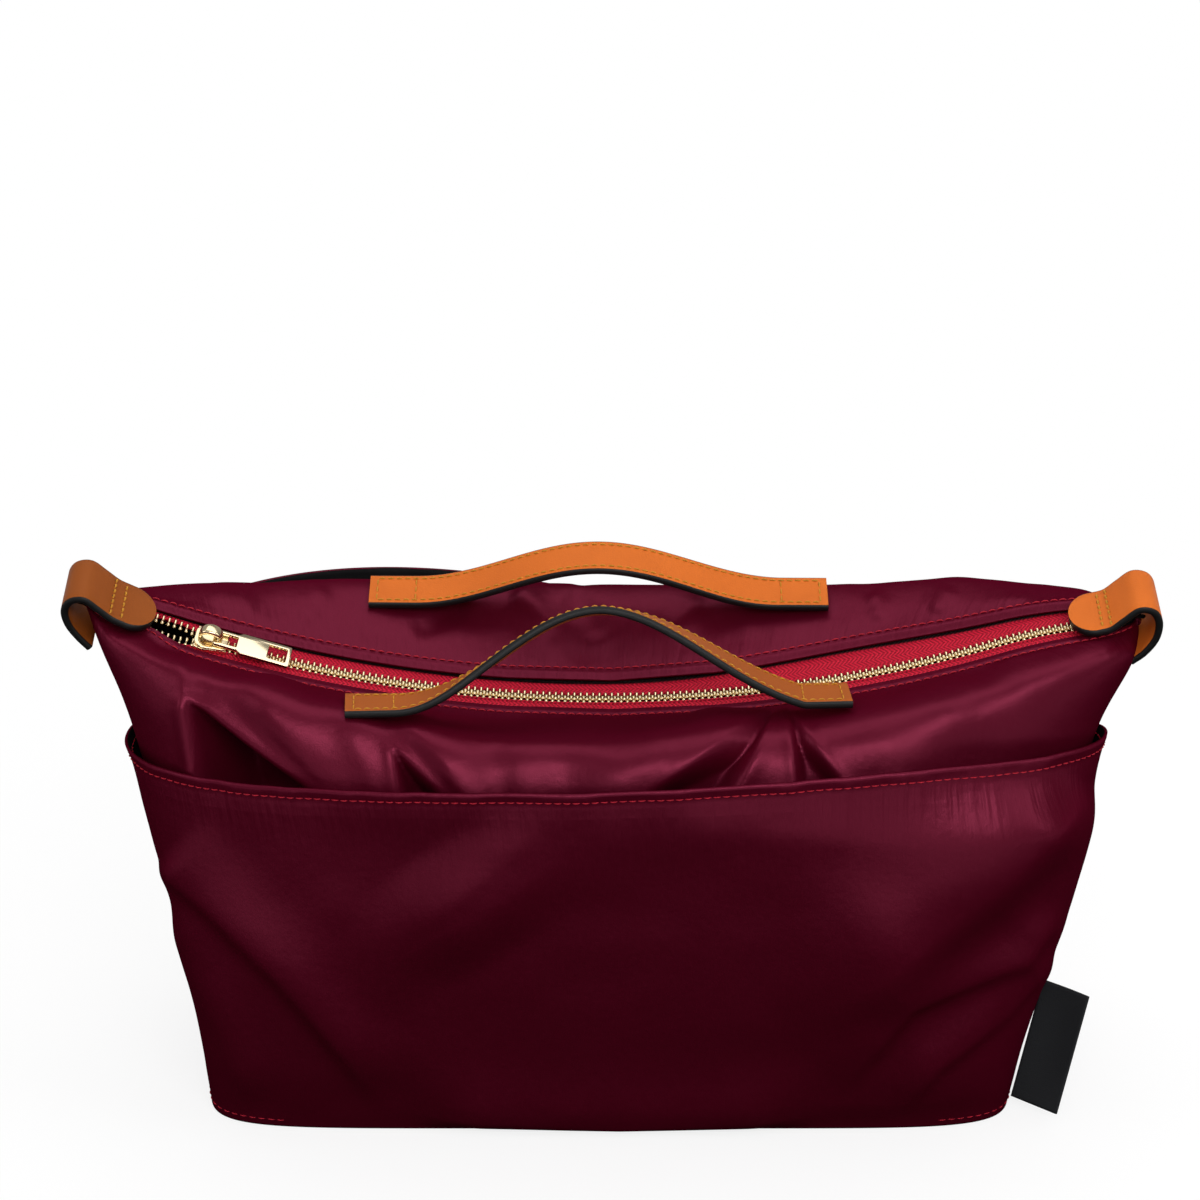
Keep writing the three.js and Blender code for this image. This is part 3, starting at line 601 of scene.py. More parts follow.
# Recesses: the cloth sinks between two creases that run down from a peak, and swells along both.
def recessField(pixels, recesses):
    total = np.zeros(pixels.shape[:-1])
    crestRun = 16
    for corners, depth, blend, crest, edge in recesses:
        peak, left, right = [np.array(corner, float) for corner in corners]
        inside = np.full(total.shape, farAway)
        for near, far in ((left, right), (right, left)):
            run = unit(near - peak)
            inward = np.array([-run[1], run[0]])
            inward = inward * np.sign(inward @ (far - peak))
            inside = np.minimum(inside, (pixels - peak) @ inward)
        total -= depth * smooth(inside / blend)
        total += crest * bell(inside, 0, edge) * smooth((pixels[..., 1] - peak[1]) / crestRun)
    return total


# Cloth walls
columns = 380
shares = np.linspace(0, 1, columns)
panelSpans = ((0, 2.2, 12), (2.2, 4.3, 66), (4.3, 6, 46))  # most rows where the folds are
panelRows = np.unique(np.concatenate([np.linspace(*span) for span in panelSpans]))
rowOf = {"pocketTop": 3, "ridge": 4, "fold": 5}
pocketRows = np.linspace(0, rowOf["pocketTop"], 112)

# Each fold: its pixels, its width to the left and right of them or one for both, its height in millimetres,
# and the shares of its length over which it rises at its ends. Each recess: its peak and two lower corners
# in pixels, its depth in millimetres, the pixels over which it sinks, and its creases' height and width.
frontPanelShape = {
    "thickness": 1.0,
    "folds": [
        ([(174, 640), (184, 690), (195, 740), (204, 810)], (10, 42), 3.6, (0.4, 0.2)),
        ([(228, 664), (262, 702), (294, 740), (330, 786), (368, 840)], (36, 16), 3.0, (0.3, 0.2)),
        ([(318, 690), (350, 725), (372, 775), (392, 846)], (22, 16), 1.4, (0.4, 0.2)),
        ([(386, 716), (414, 730), (444, 760), (470, 800), (496, 856)], (26, 12), 2.6, (0.2, 0.2)),
        ([(470, 716), (492, 750), (500, 796), (504, 856)], 20, -1.5, (0.4, 0.2)),
        ([(556, 728), (560, 760), (562, 796), (564, 856)], 26, -1.6, (0.4, 0.2)),
        ([(790, 700), (712, 734), (640, 774), (560, 822)], (30, 34), 2.4, (0.3, 0.3)),
        ([(868, 690), (880, 725), (890, 765), (900, 830)], 36, 1.5, (0.4, 0.2)),
        ([(985, 660), (960, 700), (930, 748), (896, 812)], 34, 1.0, (0.4, 0.2)),
    ],
    "recesses": [
        ([(185, 690), (198, 765), (284, 768)], 21.0, 30, 1.6, 9),
        ([(388, 738), (396, 795), (444, 795)], 8.0, 22, 0.8, 7),
        ([(784, 700), (660, 784), (744, 784)], 7.0, 24, 0.5, 9),
        ([(786, 702), (794, 782), (836, 772)], 5.2, 16, 0.7, 7),
    ],
}
backPanelShape = {
    "thickness": 1.0,
    "folds": [
        ([(515, 588), (532, 610), (552, 640)], 15, 2.2, (0.2, 0.3)),
        ([(566, 590), (590, 615), (600, 645)], 14, -1.6, (0.2, 0.3)),
        ([(470, 600), (440, 620), (405, 632)], 12, -1.8, (0.2, 0.3)),
        ([(205, 590), (240, 600), (262, 616)], 12, 1.2, (0.3, 0.3)),
        ([(330, 588), (310, 605), (300, 625)], 14, 1.0, (0.3, 0.3)),
        ([(700, 592), (690, 615), (672, 640)], 14, 1.4, (0.3, 0.3)),
        ([(868, 590), (880, 605), (876, 625)], 10, 1.2, (0.3, 0.3)),
        ([(950, 586), (945, 600), (930, 616)], 12, 1.2, (0.3, 0.3)),
    ],
    "recesses": [],
}
frontPocketShape = {
    "thickness": 1.0,
    "folds": [
        ([(160, 856), (215, 905), (285, 975), (345, 1048), (388, 1112)], (34, 13), 4.2, (0.08, 0.25)),
        ([(166, 900), (205, 980), (240, 1060), (262, 1110)], (26, 18), 2.2, (0.2, 0.2)),
        ([(1084, 770), (980, 878), (880, 963), (784, 1040)], (40, 98), 11.5, (0.2, 0.4)),
        ([(1064, 905), (1020, 958), (908, 1000), (835, 1090)], (12, 30), 3.6, (0.15, 0.25)),
        ([(1060, 950), (1005, 1012), (935, 1062), (896, 1112)], (10, 26), 2.6, (0.15, 0.25)),
        ([(420, 850), (470, 915), (500, 965)], (80, 76), 6.2, (0.45, 0.45)),
        ([(400, 1112), (620, 1120), (830, 1112)], (36, 12), 4.4, (0.2, 0.2)),
        ([(640, 800), (780, 828), (900, 812)], 34, 1.6, (0.3, 0.3)),
    ],
    "recesses": [],
}
backPocketShape = {"thickness": 1.0, "folds": [], "recesses": []}
frontMouth = {
    "gape": 5, "lip": 3.4, "ends": 0.6,
    "lift": 10, "least": 0.25, "riseFrom": 0.45, "riseRun": 0.35, "corners": 8,
}
backMouth = {
    "gape": 9, "leftward": 0.62, "ends": 1.2,
    "lift": 23.3, "riseFrom": 0.03, "riseRun": 0.14, "fallFrom": 0.17, "fallRun": 0.37,
}


# All that the drawn folds and recesses lift a cloth at its points.
def foldLift(points, shape):
    pixels = toPixels(points)
    return foldField(pixels, shape["folds"]) + recessField(pixels, shape["recesses"])


# The pockets stand away from the wall towards their mouths, as powers of the height, and most in the middle.
def frontPocketGape(share, up):
    most = np.sin(math.pi * share).clip(0) ** frontMouth["ends"]
    return most * (frontMouth["gape"] * up**2 + frontMouth["lip"] * up**9)


def backPocketGape(share, up):
    most = np.sin(math.pi * share.clip(0) ** backMouth["leftward"]).clip(0) ** backMouth["ends"]
    return backMouth["gape"] * most * up**2


# The front hem rises towards the right, and not at its two ends.
def frontPocketLift(share, up):
    least = frontMouth["least"]
    rightward = least + (1 - least) * smooth((share - frontMouth["riseFrom"]) / frontMouth["riseRun"])
    return frontMouth["lift"] * rightward * (1 - np.abs(2 * share - 1) ** frontMouth["corners"]) * up**3


# The back hem rises at its left only, steeply up to share 0.17 and down again as a cosine to share 0.54.
def backPocketLift(share, up):
    fall = np.cos(math.pi / 2 * ((share - backMouth["fallFrom"]) / backMouth["fallRun"]).clip(0, 1))
    rise = smooth((share - backMouth["riseFrom"]) / backMouth["riseRun"])
    return backMouth["lift"] * rise * fall * up**3


# UV in millimetres: along the columns, and away from one row of the grid.
def seamUv(grid, row):
    along = lengthsAlong(grid[row])
    down = np.linalg.norm(np.diff(grid, axis=0), axis=2)
    depth = np.concatenate([np.zeros((1, grid.shape[1])), np.cumsum(down, axis=0)])
    return np.stack([along[None] * np.ones(grid.shape[:2]), np.abs(depth - depth[row])], -1)


# A cloth wall: the grid as the outer face, with its thickness and another material inside where given.
def clothPiece(name, grid, side, material, thickness, inside=None, seamRow=0):
    faces = gridFaces(*grid.shape[:2], flip=side > 0)
    piece = makeMesh(name, grid, faces, [material, inside] if inside else material, seamUv(grid, seamRow))
    solidify(piece, thickness, 1 if inside else 0)
    return piece


# A grid moved outwards along its normals.
def pressed(grid, side, lift):
    return grid + gridNormals(grid, side) * lift[..., None]


panelCloth = {
    "rowLength": 30, "fineWaves": (5.2, 12, 0.42), "broadWaves": (13, 30, 0.7),
    "noise": 42, "noiseAt": (300, 300),
    "foldFade": 0.3, "lowRow": 2.3, "lowFade": 0.5,
    "earsFrom": 177, "earsRun": 26, "foldsFrom": 170, "foldsRun": 20,
    "groove": 0.4, "grooveRow": 3.6, "grooveWide": 0.8,
}
pocketCloth = {
    "gap": 1.6, "rowLength": 52, "waves": (6, 9, 0.3),
    "noise": 60, "noiseAt": (300, 100), "noiseHeight": 1.3, "noiseFade": 0.5,
    "sideShare": 0.04, "seamShare": 0.02, "lowFade": 0.05, "topFade": 0.4, "footFade": 0.1, "footStart": 0.05,
    "hem": 3.6, "hemGap": 0.2, "hemSwell": 0.35, "hemRun": 0.8, "wavesFade": 2,
    "groove": 0.4, "grooveWide": 0.7, "seamRows": 8,
    "calmAt": (140, 22), "calmRun": (12, 26),
}


# A panel: the wall, lifted by its folds, puckers below the stitched fold, noise, and the stitches' groove.
def addPanel(name, side, shape, seed):
    cloth = panelCloth
    noiseX, noiseZ = cloth["noiseAt"]
    grid = wall(side, panelRows, shares)
    x, y, z = grid[..., 0], grid[..., 1], grid[..., 2]
    row = panelRows[:, None] * np.ones_like(x)
    below = rowOf["fold"] - row
    away = below.clip(0, 3) * cloth["rowLength"]
    fade = smooth(below / cloth["foldFade"]) * smooth((row - cloth["lowRow"]) / cloth["lowFade"])
    ears = smooth((cloth["earsFrom"] - np.abs(x)) / cloth["earsRun"])
    lift = foldLift(grid, shape) * fade * smooth((cloth["foldsFrom"] - np.abs(x)) / cloth["foldsRun"])
    for step, waves in enumerate((cloth["fineWaves"], cloth["broadWaves"])):
        lift = lift + puckers(x, away, *waves, seed + step) * fade * ears
    lift = lift + softNoise(x + noiseX, z + y + noiseZ, cloth["noise"], seed + 2) * fade * ears
    groove = -cloth["groove"] * bell(-below * cloth["grooveRow"], 0, cloth["grooveWide"])
    grid = pressed(grid, side, lift + groove)
    seamRow = int(np.argmin(np.abs(panelRows - rowOf["fold"])))
    piece = clothPiece(name, grid, side, nylon, shape["thickness"], None, seamRow)
    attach(piece, "bag")
    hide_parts(name.replace("Panel", "_panel"))
    return grid


# A pocket: the wall moved outwards by its gape, with a raised hem, lifted by folds, noise and its seam.
def addPocket(name, side, shape, gape, rise, seed):
    cloth = pocketCloth
    noiseX, noiseZ = cloth["noiseAt"]
    share, row = np.meshgrid(shares, pocketRows)
    up, below = row / rowOf["pocketTop"], rowOf["pocketTop"] - row
    grid = wall(side, pocketRows, shares, -cloth["gap"] - gape(share, up))
    grid[..., 2] += rise(share, up)
    x, z = grid[..., 0], grid[..., 2]
    inner = smooth(share / cloth["sideShare"]) * smooth((1 - share) / cloth["sideShare"])
    seam = smooth(share / cloth["seamShare"]) * smooth((1 - share) / cloth["seamShare"])
    lift = foldLift(grid, shape) * smooth(row / cloth["lowFade"]) * smooth(below / cloth["topFade"]) * seam
    noise = softNoise(x + noiseX, z + noiseZ, cloth["noise"], seed) * cloth["noiseHeight"]
    lift = lift + noise * smooth(row / cloth["noiseFade"]) * smooth(below / cloth["noiseFade"]) * inner
    top = below * cloth["rowLength"]
    swell = cloth["hemSwell"] * smooth((cloth["hem"] - cloth["hemGap"] - top) / cloth["hemRun"])
    groove = cloth["groove"] * bell(top, cloth["hem"], cloth["grooveWide"])
    waves = puckers(x, top - cloth["hem"], *cloth["waves"], seed + 3) * smooth(top / cloth["wavesFade"])
    calmX, calmZ = [((v - at) / run) ** 2 for v, at, run in zip((x, z), cloth["calmAt"], cloth["calmRun"])]
    calm = 1 - np.exp(-calmX - calmZ)  # smooth cloth where the tag swings
    foot = smooth(row / cloth["footFade"] + cloth["footStart"])
    grid = pressed(grid, side, (lift + swell - groove + waves) * foot * calm)
    seamRow = len(pocketRows) - cloth["seamRows"]
    piece = clothPiece(name, grid, side, nylon, shape["thickness"], liningCloth, seamRow)
    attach(piece, "bag")
    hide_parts(name.replace("Pocket", "_pocket"))
    return grid


frontPanelGrid = addPanel("frontPanel", -1, frontPanelShape, 11)
backPanelGrid = addPanel("backPanel", 1, backPanelShape, 31)
frontPocketGrid = addPocket("frontPocket", -1, frontPocketShape, frontPocketGape, frontPocketLift, 51)
backPocketGrid = addPocket("backPocket", 1, backPocketShape, backPocketGape, backPocketLift, 71)
print("cloth walls made")


# Base, linings and inner pockets
base = {
    "inset": 1.3, "samples": 120, "inward": [1, 0.985, 0.95, 0.8, 0.5, 0.2], "rise": [0.95, 0.25, 0, 0, 0, 0],
    "thickness": 1.0, "liningShare": 0.985, "liningHeight": 4.4,
}
lining = {"thickness": 0.8, "behind": 2.4, "topRow": 5.6, "lowest": 5.6, "every": 2}
innerPocket = {
    "rows": (0.4, 2), "shares": (0.2, 0.8), "depth": 4.8, "gape": 7.5, "gapePower": 0.6, "rim": 0.9,
}
innerStitch = {"pitch": 2.8, "share": 0.82, "radius": 0.22, "lift": 0.12}


# The base: the lowest level's outline, drawn inwards by shares on its way down.
def addBase():
    along = np.linspace(0, 1, base["samples"])
    front, back = [levelCurves(side, base["inset"], along)[0] for side in (-1, 1)]
    ring = np.concatenate([front, back[::-1][1:-1]])[:, :2]
    count = len(ring)
    level = lambda share, height: np.concatenate([ring * share, np.full((count, 1), height)], 1)
    rings = np.stack([level(share, height) for share, height in zip(base["inward"], base["rise"])])
    faces = gridFaces(len(rings), count, loop=True, flip=True).tolist()
    faces.append([(len(rings) - 1) * count + k for k in range(count)][::-1])
    piece = makeMesh("basePanel", rings, faces, nylon)
    solidify(piece, base["thickness"])
    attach(piece, "bag")
    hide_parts("base_panel")
    floor = level(base["liningShare"], base["liningHeight"])
    inside = makeMesh("baseLining", floor, [list(range(count))], liningCloth)
    solidify(inside, lining["thickness"])
    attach(inside, "bag")
    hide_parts("base_lining")


# The lining hangs 2.4 mm behind the panel and follows its folds.
def addLining(name, side, panelGrid):
    behind = np.full(panelGrid.shape[:2], -lining["behind"])
    grid = pressed(panelGrid, side, behind)[panelRows < lining["topRow"], ::lining["every"]]
    grid[..., 2] = np.maximum(grid[..., 2], lining["lowest"])
    piece = clothPiece(name + "Lining", grid, side, liningCloth, lining["thickness"])
    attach(piece, "bag")
    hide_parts(name + "_lining")


# An inner pocket lies inside the wall and gapes inwards, in proportion to its height and most in the middle.
def addInnerPocket(name, side):
    rows, span = np.linspace(*innerPocket["rows"], 36), np.linspace(*innerPocket["shares"], 90)
    row, share = np.meshgrid(rows, span, indexing="ij")
    up, along = [(v - v.min()) / (v.max() - v.min()) for v in (row, share)]
    across = np.sin(math.pi * along).clip(0) ** innerPocket["gapePower"]
    grid = wall(side, rows, span, innerPocket["depth"] + innerPocket["gape"] * across * up)
    piece = clothPiece(name + "InnerPocket", grid, side, liningCloth, lining["thickness"])
    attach(piece, "bag")
    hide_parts(name + "_inner_pocket")
    rim = pressed(grid, side, np.full(grid.shape[:2], -innerPocket["rim"]))[-3]
    stitches(name + "InnerPocketThread", rim, -gridNormals(grid, side)[-3], paintedEdge, innerStitch)


addBase()
for name, side, grid in (("front", -1, frontPanelGrid), ("back", 1, backPanelGrid)):
    addLining(name, side, grid)
    addInnerPocket(name, side)
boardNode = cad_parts["base_board"]
boardNode.data.materials.clear()
boardNode.data.materials.append(boardFinish)
print("base and linings made")


# Red stitching on the cloth
zipStitch = {"pitch": 3.0, "share": 0.86, "radius": 0.26, "lift": 0.2}
hemStitch = {"pitch": 3.0, "share": 0.84, "radius": 0.24, "lift": 0.14}
seamStitch = {"pitch": 3.2, "share": 0.8, "radius": 0.2, "lift": 0.08}
cornerSeam = {"row": 0.1, "from": 112, "depth": 6}


# The cloth's line and normals at one row, mixed between the rows of its grid.
def rowLine(grid, rows, row, side):
    index = np.interp(row, rows, np.arange(len(rows)))
    low = int(min(index, len(rows) - 2))
    normals = gridNormals(grid, side)
    t = index - low
    return grid[low] * (1 - t) + grid[low + 1] * t, unit(normals[low] * (1 - t) + normals[low + 1] * t)


for name, side, grid in (("front", -1, frontPanelGrid), ("back", 1, backPanelGrid)):
    line, normal = rowLine(grid, panelRows, rowOf["fold"], side)
    stitches(name + "ZipThread", line[4:-4], normal[4:-4], redThread, zipStitch)
for name, side, grid in (("front", -1, frontPocketGrid), ("back", 1, backPocketGrid)):
    hemRow = rowOf["pocketTop"] - pocketCloth["hem"] / pocketCloth["rowLength"]
    line, normal = [values[3:-3] for values in rowLine(grid, pocketRows, hemRow, side)]
    stitches(name + "HemThread", line, normal, redThread, hemStitch)
    stitches(name + "HemThreadInside", line - normal, -normal, redThread, hemStitch)
    low, lowNormal = rowLine(grid, pocketRows, cornerSeam["row"], side)
    for end, label in ((-1, "Left"), (1, "Right")):
        corner = (low[:, 0] * end > cornerSeam["from"]) & (np.abs(low[:, 1]) > cornerSeam["depth"])
        stitches(name + "SeamThread" + label, low[corner], lowNormal[corner], redThread, seamStitch)
print("red stitching made")


# Zip: lengths along it are measured on its arc, from the arc's lowest point
teeth = {
    "pitch": 2.13, "width": 0.86, "stop": 3.0, "gap": 0.3, "up": 0.12, "section": 1.08,
    "across": [-1.1, -1.0, -0.5, 0.25, 0.85, 1.45, 1.95, 2.3, 2.4],
    "halfWide": [0.2, 0.5, 0.6, 0.42, 0.4, 0.48, 0.62, 0.5, 0.2],
    "halfHigh": [0.3, 0.66, 0.86, 0.62, 0.62, 0.76, 0.88, 0.7, 0.3],
    "sizeLeft": 1.18, "sizeFall": 0.22, "sizeRun": 300,
}
tape = {
    "step": 0.8, "columns": 22, "inner": 2.95, "least": 0.6, "past": 6, "fadeFrom": 8, "fadeRun": 24,
    "lift": 0.25, "thickness": 0.5, "ripple": 0.05, "rippleWave": 2.2, "cordAt": 2.5, "cord": (0.55, 0.75),
}
mouth = {"half": 3, "start": 4, "runIn": 17, "close": 15, "slider": -135.5}
zipReach, tapeInset = bag["halfLengths"][-1], 11.5
zipSines = [(end * zipReach - zipArc["shift"]) / zipArc["radius"] for end in (-1, 1)]
zipEnds = [zipArc["radius"] * math.asin(sine) for sine in zipSines]
tapeStart, tapeEnd = zipEnds[0] + tapeInset, zipEnds[1] - tapeInset
chainStart = tapeStart + teeth["stop"] + teeth["gap"]
toothCount = int((tapeEnd - teeth["stop"] - teeth["gap"] - chainStart) // teeth["pitch"]) - 1


# How far a row of teeth stands from the closed zip's middle.
def rowOffset(along):
    opened = smooth((mouth["slider"] + mouth["start"] - along) / mouth["runIn"])
    return mouth["half"] * opened * smooth((along - tapeStart) / mouth["close"])


# A tape from its corded edge to the fold beside it, narrowing to the cord at both ends.
def addTape(name, side):
    along = np.arange(tapeStart - tape["past"], tapeEnd + tape["past"], tape["step"])
    offset = rowOffset(along)
    inner = tape["inner"] + offset
    past, run = tape["fadeFrom"], tape["fadeRun"]
    ends = smooth((along - tapeStart + past) / run) * smooth((tapeEnd + past - along) / run)
    wider = widenAt(zipArc["radius"] * np.sin(along / zipArc["radius"])) * (side > 0)
    outer = inner + tape["least"] + (zipArc["outer"] + wider - inner - tape["least"]) * ends
    across = inner[:, None] + (outer - inner)[:, None] * np.linspace(0, 1, tape["columns"])
    up = tapeRise(across) + tape["lift"] + tape["ripple"] * np.sin(across * tape["rippleWave"])
    grid = zipPoint(along[:, None], side * across, up)
    uv = np.stack([along[:, None] * np.ones_like(across), across - wider[:, None]], -1)
    piece = makeMesh(name, grid, gridFaces(*across.shape, flip=side > 0), zipTape, uv)
    solidify(piece, tape["thickness"])
    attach(piece, "bag")
    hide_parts(name.replace("ZipTape", "_zip_tape"))
    sides = 8
    centre = zipPoint(along, side * (tape["cordAt"] + offset), 0)
    up = unit(zipPoint(along, 0, 1) - zipPoint(along, 0, 0))
    across = unit(zipPoint(along, 1, 0) - zipPoint(along, 0, 0))
    tube = sweep(centre, across, up, circle(sides) * tape["cord"])
    uv = np.stack(np.meshgrid(along, np.linspace(0, math.pi, sides, endpoint=False), indexing="ij"), -1)
    cord = makeMesh(name.replace("Tape", "Cord"), tube, capped(len(along), sides), zipTape, uv)
    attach(cord, "bag")


# A tooth is a bar across the tape, swollen at its two ends: rings of eight points along its length.
def addTeeth(name, side):
    start = chainStart + (0 if side < 0 else teeth["pitch"] / 2) + teeth["width"] / 2
    along = start + np.arange(toothCount) * teeth["pitch"]
    across, halfWide, halfHigh = [np.array(teeth[key])[:, None] for key in ("across", "halfWide", "halfHigh")]
    sides = 8
    section = circle(sides, math.pi / sides) * teeth["section"]
    size = (teeth["sizeLeft"] - teeth["sizeFall"] * smooth(along / teeth["sizeRun"] + 0.5))[:, None, None]
    place = across * size + rowOffset(along)[:, None, None]
    high = halfHigh * size * section[:, 1] + teeth["up"]
    grid = zipPoint(along[:, None, None] + halfWide * section[:, 0], side * place, high)
    piece = makeMesh(name, grid, capped(len(across), sides, toothCount, side > 0), gold)
    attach(piece, "bag")
    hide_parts(name.replace("ZipTeeth", "_zip_chain"))


for name, side in (("front", -1), ("back", 1)):
    addTape(name + "ZipTape", side)
    addTeeth(name + "ZipTeeth", side)


# A stop is a clip pressed over the tape's edge: a box with rounded edges, along by across by height.
clip = {"half": 1.25, "edge": 0.4, "segments": 3, "inner": 1.5, "outer": 3.3, "closed": 3.1}


def addStop(name, node, alongs, acrosses):
    corners = [zipPoint(a, c, u) for a in alongs for c in acrosses for u in (-clip["half"], clip["half"])]
    faces = [[0, 1, 3, 2], [4, 6, 7, 5], [0, 4, 5, 1], [2, 3, 7, 6], [0, 2, 6, 4], [1, 5, 7, 3]]
    stop = makeMesh(name, corners, faces, gold, None, None, False)
    edge = stop.modifiers.new("edge", "BEVEL")
    edge.width, edge.segments = clip["edge"] / metre, clip["segments"]
    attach(stop, "bag")
    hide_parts(node)


topStop = (tapeStart, tapeStart + teeth["stop"])
addStop("frontTopStop", "front_top_stop", topStop, (-clip["outer"], -clip["inner"]))
addStop("backTopStop", "back_top_stop", topStop, (clip["inner"], clip["outer"]))
addStop("bottomStop", "bottom_stop", (tapeEnd - teeth["stop"], tapeEnd), (-clip["closed"], clip["closed"]))
print("zip made")


# Slider: pieces are drawn flat about the slider's own centre, then set on the zip's arc
slider = {
    "half": 5.7, "open": 5.6, "closed": 3.9, "inner": 3.0, "plate": 0.9,
    "corner": 1.3, "nose": 0.55, "back": 0.62,
    "topMore": 0.15, "topEdge": 0.4, "lowEdge": 0.35,
    "flange": 0.8, "flangeFrom": 0.5, "flangeIn": 0.3, "flangeEdge": 0.12,
    "flangeShares": ((-0.5, 1), (-0.9, 0.93), (-0.9, 0.8)),
    "post": 0.5, "postAt": 1.2, "postIn": 0.1, "postEdge": 0.05,
}
crown = {
    "half": 3.5, "shift": -0.5, "high": 3.9, "wide": 2.0, "thick": 0.85,
    "rings": 34, "sides": 20, "square": 0.7,
}
sliderCentre = zipPoint(mouth["slider"], 0, 0)
steps = ((0.1, 0, 0), (0, 1, 0), (0, 0, 1))
sliderAxes = unit(np.array([zipPoint(mouth["slider"] + a, c, u) - sliderCentre for a, c, u in steps]))


# The slider's own lengths along, across and up, turned and moved to its place on the zip.
def onSlider(points):
    return np.asarray(points, float) @ sliderAxes + sliderCentre


# A plate with rounded edges from flat outlines: the first is its rim, the others are windows.
def plate(name, outlines, low, high, bevel, material):
    curve = bpy.data.curves.new(name, "CURVE")
    curve.dimensions, curve.fill_mode = "2D", "BOTH"
    curve.extrude = (high - low) / 2 - bevel
    curve.bevel_depth, curve.bevel_resolution, curve.offset = bevel, 3, -bevel
    for outline in outlines:
        spline = curve.splines.new("POLY")
        spline.points.add(len(outline) - 1)
        rest = np.tile([0.0, 1.0], (len(outline), 1))  # z and weight
        spline.points.foreach_set("co", np.concatenate([outline, rest], 1).ravel())
        spline.use_cyclic_u = True
    shape = placed(name + "Shape", curve)
    bpy.context.view_layer.update()
    mesh = bpy.data.meshes.new_from_object(shape)
    points = np.empty(len(mesh.vertices) * 3)
    mesh.vertices.foreach_get("co", points)
    points = points.reshape(-1, 3)
    points[:, 2] += (low + high) / 2
    mesh.vertices.foreach_set("co", (onSlider(points) / metre).ravel())
    bpy.data.objects.remove(shape)
    mesh.materials.clear()
    mesh.materials.append(material)
    mesh.polygons.foreach_set("use_smooth", np.full(len(mesh.polygons), True))
    mesh.update()
    piece = placed(name, mesh)
    weld = piece.modifiers.new("weld", "WELD")
    weld.merge_threshold = 1e-6
    splitEdges(piece, 40)
    return piece


# An outline with its corners rounded as quadratic curves.
def roundedOutline(corners, radius, steps=6):
    corners = np.array(corners, float)
    out = []
    for k in range(len(corners)):
        before, here, after = corners[k - 1], corners[k], corners[(k + 1) % len(corners)]
        start = here + unit(before - here) * radius
        end = here + unit(after - here) * radius
        t = np.linspace(0, 1, steps)[:, None]
        out.append(start * (1 - t) ** 2 + here * 2 * t * (1 - t) + end * t**2)
    return np.concatenate(out)


def rectangle(left, right, low, high, radius):
    return roundedOutline([(left, low), (right, low), (right, high), (left, high)], radius)


# Two plates, two pairs of flanges round the chains and a post between the plates.
def addSlider():
    half, wide, narrow = slider["half"], slider["open"], slider["closed"]
    inner, deep = slider["inner"] / 2, slider["plate"]
    nose = [(half, -narrow), (half, narrow)]
    tail = [(-half * slider["nose"], wide), (-half, wide * slider["back"])]
    outline = roundedOutline(nose + tail + [(x, -y) for x, y in tail[::-1]], slider["corner"])
    top = plate("sliderTop", [outline], inner, inner + deep + slider["topMore"], slider["topEdge"], gold)
    bottom = plate("sliderBottom", [outline], -inner - deep, -inner, slider["lowEdge"], gold)
    pieces = [top, bottom]
    low, high, edge = slider["flangeFrom"], inner + slider["flangeIn"], slider["flangeEdge"]
    turns = [(half * x, wide * y) for x, y in slider["flangeShares"]]
    inside = [(turns[0][0], wide - slider["flange"]), (half, narrow - slider["flange"])]
    for side, label in ((-1, "Front"), (1, "Back")):
        rim = [(x, y * side) for x, y in [(half, narrow)] + turns + inside]
        rim = roundedOutline(rim, 0.2, 3)
        pieces.append(plate("sliderFlangeTop" + label, [rim], low, high, edge, gold))
        pieces.append(plate("sliderFlangeLow" + label, [rim], -high, -low, edge, gold))
    post = circle(16) * slider["post"] + [-half + slider["postAt"], 0]
    tall = inner + slider["postIn"]
    pieces.append(plate("sliderPost", [post], -tall, tall, slider["postEdge"], gold))
    for piece in pieces:
        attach(piece, "slider")
    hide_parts("slider_body")


# The crown is an arch over the pull's bar: rounded sections carried along a half oval.
def addCrown():
    t = np.linspace(0, math.pi, crown["rings"])
    rise = slider["inner"] / 2 + slider["plate"] + crown["high"] * np.sin(t) ** crown["square"]
    path = np.stack([-crown["half"] * np.cos(t) + crown["shift"], np.zeros_like(t), rise], 1)
    side = np.tile([0, 1.0, 0], (len(t), 1))
    up = np.cross(unit(np.gradient(path, axis=0)), side)
    ring = circle(crown["sides"])
    section = np.sign(ring) * np.abs(ring) ** crown["square"]
    scale = np.stack([crown["wide"] * (0.75 + 0.4 * np.sin(t)), crown["thick"] * (0.75 + 0.5 * np.sin(t))], 1)
    tube = onSlider(sweep(path, side, up, section, scale))
    arch = makeMesh("sliderCrown", tube, capped(len(t), crown["sides"]), gold)
    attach(arch, "slider")
    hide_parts("slider_crown")


pull = {
    "shift": 1.2, "bar": 0.65, "end": 25.95, "neck": 8.0, "wide": 4.9, "slim": 3.7,
    "thick": 1.3, "edge": 0.28, "rest": 0.45,
    "smallGap": 0.1, "small": (6.8, 2.6, 0.6), "largeGap": 1.4, "large": (6.4, 3.4, 0.9),
}


